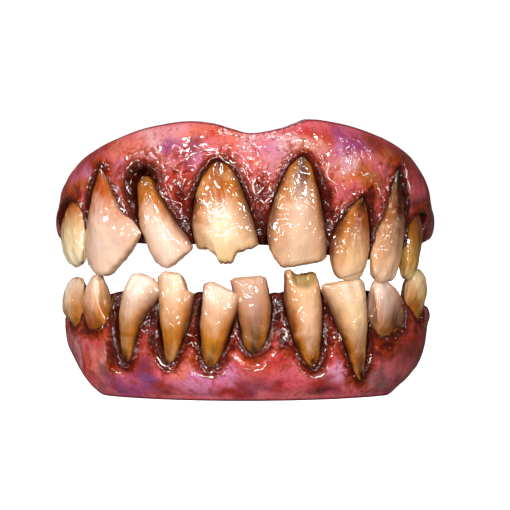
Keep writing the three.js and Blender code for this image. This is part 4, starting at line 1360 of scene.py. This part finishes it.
def tooth_finish(row, seed):
    look = Finish(row["name"] + "_finish")
    along, side, scoop = look.value("along"), look.value("side"), look.value("scoop")
    streaks = look.noise(0.7, 4, 0.8, longer=6, offset=seed)
    clouds = look.noise(2.5, 3, 0.5, offset=seed + 5)
    wander = look.maths("ADD", look.swing(streaks, 0.35), look.swing(clouds, 0.25))
    stain, body = rgba(row["stain"]), rgba(row["body"])
    stain_to, body_from = row["stain_to"], row["body_from"]
    stops = [
        (0.03, rgba(row["root"])),
        (stain_to * 0.75, stain),
        ((stain_to + body_from) / 2, [(a + b) / 2 for a, b in zip(stain, body)]),
        (body_from + 0.08, body),
        (0.97, rgba(row["tip"])),
    ]
    colour = look.ramp(look.maths("ADD", along, wander), stops)

    amber = look.mix(look.noise(1.2, 4, 1, offset=seed + 9), rgba("984206"), rgba("D0801A"))
    low_down = look.between(along, 0.95, 0.35, 0.45, 1)
    reach = look.maths("ADD", side, look.swing(clouds, 0.6))
    for strength, turn in ((row["left"], -1), (row["right"], 1)):
        share = look.maths("MULTIPLY", look.between(reach, turn * 0.12, turn * 0.8, 0, strength), low_down)
        colour = look.mix(share, colour, amber)
        # These teeth get the amber stain but no painted shade or painted outline at their sides
        if any(part in row["name"] for part in SEEN_FROM_SIDE):
            continue
        # Painted shade where the front turns into each side: brown near the side, then a painted dark outline
        brown = look.between(reach, turn * 0.62, turn * 0.98, 0, strength * 0.9)
        colour = look.mix(look.maths("MULTIPLY", brown, low_down), colour, rgba("4A1E0A"))
        colour = look.tint(colour, side, turn * 0.86, turn * 0.98, 0.75, "6A3210")

    colour = look.tint(colour, look.value("to_edge"), 0.5, 0.0, 0.45, "C08A50")
    colour = look.tint(colour, clouds, 0.5, 0.72, 0.22, "E6B98C")
    colour = look.tint(colour, look.noise(0.3, 2, offset=seed + 13), 0.68, 0.78, 0.35, "A8682E")
    olive = look.mix(look.noise(0.8, 4, 1, offset=seed + 21), rgba("7E6234"), rgba("B8975A"))
    colour = look.mix(look.maths("MULTIPLY", scoop, 0.95), colour, olive)
    # Painted shade at the very neck, where the tooth sinks into the gum
    colour = look.tint(colour, along, 0.05, 0.0, 0.5, "2A0E06")

    ribs = look.noise(0.35, 3, 0.2, longer=7, offset=seed + 29)
    normal = look.bump((look.noise(1.5, 2, 0.6, offset=seed + 25), 0.1), (ribs, 0.03))
    coat_waves = look.noise(2.4, 0, 1.6, offset=seed + 33)
    ripples = look.noise(1.2, 0, 1.2, offset=seed + 37)
    coat_normal = look.bump((coat_waves, 0.33), (ripples, 0.045), (ribs, 0.002))
    rough = look.between(streaks, 0.3, 0.7, 0.3, 0.45)
    look.shade(Base_Color=colour, Roughness=rough, Normal=normal, Coat_Normal=coat_normal)
    look.shade(Coat_Weight=1.0, Coat_Roughness=0.03, Specular_IOR_Level=0.15)
    look.shade(Subsurface_Weight=0.15, Subsurface_Scale=0.0012, Subsurface_Radius=(1, 0.6, 0.35))
    return look.material


# Pieces

NOISE_APART = 31.7  # between the paint of neighbouring teeth, in lumps


def dress():
    """Makes each gum and tooth, and puts it in place of its plain solid."""
    all_teeth = [(jaw, row) for jaw in (UPPER, LOWER) for row in jaw.teeth]
    wet = strand_finish_with_painted_glints()
    for jaw, seed in ((UPPER, 100), (LOWER, 150)):
        gum, strands = make_gum(jaw, seed)
        gum.data.materials.append(gum_finish(f"{jaw.name}_gum_finish"))
        settle(gum, f"{jaw.name}_gum")
        strands.data.materials.append(wet)
        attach(strands, "root")
    for number, (jaw, row) in enumerate(all_teeth):
        ahead = [
            (other_jaw, other)
            for i, (other_jaw, other) in enumerate(all_teeth)
            if other["proud"] > row["proud"] or (other["proud"] == row["proud"] and i < number)
        ]
        piece = make_tooth(jaw, row, ahead, number + 1)
        piece.data.materials.append(tooth_finish(row, (number + 1) * NOISE_APART))
        settle(piece, row["name"])


def settle(piece, node):
    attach(piece, "root")
    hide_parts(node)


# Studio

# Camera and stage, in millimetres and degrees
VIEW_TARGET = (1.55, 1.246, 21.67)
VIEW_DISTANCE = 450
VIEW_ELEVATION = 2
VIEW_LENS = 205
STAGE_RADIUS = 1500
STAGE_HEIGHT = 1300
STAGE_BEND = 500
STAGE_BEND_STEPS = 12
STAGE_SIDES = 96
LIGHTS_AIM = (0, 0, 21)

# Light that the floor and the world give off
FLOOR_GLOW = 1.0
WORLD_COLOUR = (1, 0.8, 0.72, 1)
WORLD_GLOW = 0.07


def make_camera():
    camera = bpy.data.cameras.new("camera")
    camera.lens = VIEW_LENS
    camera.clip_start = 0.01
    camera.clip_end = 20
    holder = put_in_scene("camera", camera)
    target = Vector(VIEW_TARGET)
    tilt = math.radians(VIEW_ELEVATION)
    holder.location = (target + Vector((0, -math.cos(tilt), math.sin(tilt))) * VIEW_DISTANCE) * MM
    holder.rotation_euler = (math.radians(90) - tilt, 0, 0)
    bpy.context.scene.camera = holder


def stage_finish():
    look = Finish("pale_floor")
    tone = look.between(look.noise(60, 3), 0.3, 0.7, 0.9, 0.93)
    colour = look.add("ShaderNodeCombineColor")
    for socket in colour.inputs[:3]:
        look.feed(socket, tone)
    look.shade(Base_Color=colour.outputs[0], Roughness=0.6)
    look.shade(Emission_Color=(1, 1, 1, 1), Emission_Strength=FLOOR_GLOW)
    return look.material


def make_stage():
    """A round floor that bends up into a wall all about, so that no edge shows behind the object."""
    inner = STAGE_RADIUS - STAGE_BEND
    profile = [(200, 0), (inner, 0)]
    for step in range(1, STAGE_BEND_STEPS + 1):
        angle = math.radians(90) * step / STAGE_BEND_STEPS
        profile.append((inner + STAGE_BEND * math.sin(angle), STAGE_BEND * (1 - math.cos(angle))))
    profile.append((STAGE_RADIUS, STAGE_HEIGHT))
    points = [[0, 0, 0]]
    for reach, level in profile:
        for i in range(STAGE_SIDES):
            angle = 2 * math.pi * i / STAGE_SIDES
            points.append([reach * math.cos(angle), reach * math.sin(angle), level])
    faces = [[0, 1 + i, 1 + (i + 1) % STAGE_SIDES] for i in range(STAGE_SIDES)]
    for ring in range(len(profile) - 1):
        for i in range(STAGE_SIDES):
            a = 1 + ring * STAGE_SIDES + i
            b = 1 + ring * STAGE_SIDES + (i + 1) % STAGE_SIDES
            faces.append([a, a + STAGE_SIDES, b + STAGE_SIDES, b])
    floor = new_piece("floor", np.array(points, float), faces)
    floor.data.materials.append(stage_finish())
    for rays in ("visible_glossy", "visible_diffuse", "visible_shadow"):
        setattr(floor, rays, False)


# Lights: azimuth from the front, elevation, distance, width and height in millimetres, and power in watts
LIGHTS = [
    ("key", -30, 22, 620, 150, 70, 2.2),
    ("fill", 34, 20, 650, 120, 60, 1.6),
    ("top", 4, 60, 620, 120, 60, 0.35),
    ("strip", -6, 6, 650, 300, 40, 1.3),
    ("left_edge", -68, 14, 700, 50, 160, 0.7),
    ("right_edge", 68, 14, 700, 50, 160, 0.4),
    ("sparkle_left", -20, 14, 700, 50, 30, 0.5),
    ("sparkle_right", 20, 30, 700, 40, 30, 0.3),
    ("back", 180, 50, 800, 300, 200, 1.0),
]


def make_lights():
    aim = Vector(LIGHTS_AIM)
    for name, azimuth, elevation, distance, width, height, power in LIGHTS:
        light = bpy.data.lights.new(name, "AREA")
        light.shape = "RECTANGLE"
        light.size = width * MM
        light.size_y = height * MM
        light.energy = power
        holder = put_in_scene(name, light)
        turn, rise = math.radians(azimuth), math.radians(elevation)
        way = Vector((math.sin(turn) * math.cos(rise), -math.cos(turn) * math.cos(rise), math.sin(rise)))
        holder.location = (aim + way * distance) * MM
        holder.rotation_euler = (-way).to_track_quat("-Z", "Y").to_euler()


def make_world():
    world = bpy.data.worlds.new("studio")
    world.use_nodes = True
    background = world.node_tree.nodes["Background"]
    background.inputs["Color"].default_value = WORLD_COLOUR
    background.inputs["Strength"].default_value = WORLD_GLOW
    bpy.context.scene.world = world


make_camera()
make_world()
make_lights()
make_stage()
dress()
bpy.context.scene.view_settings.view_transform = "Standard"
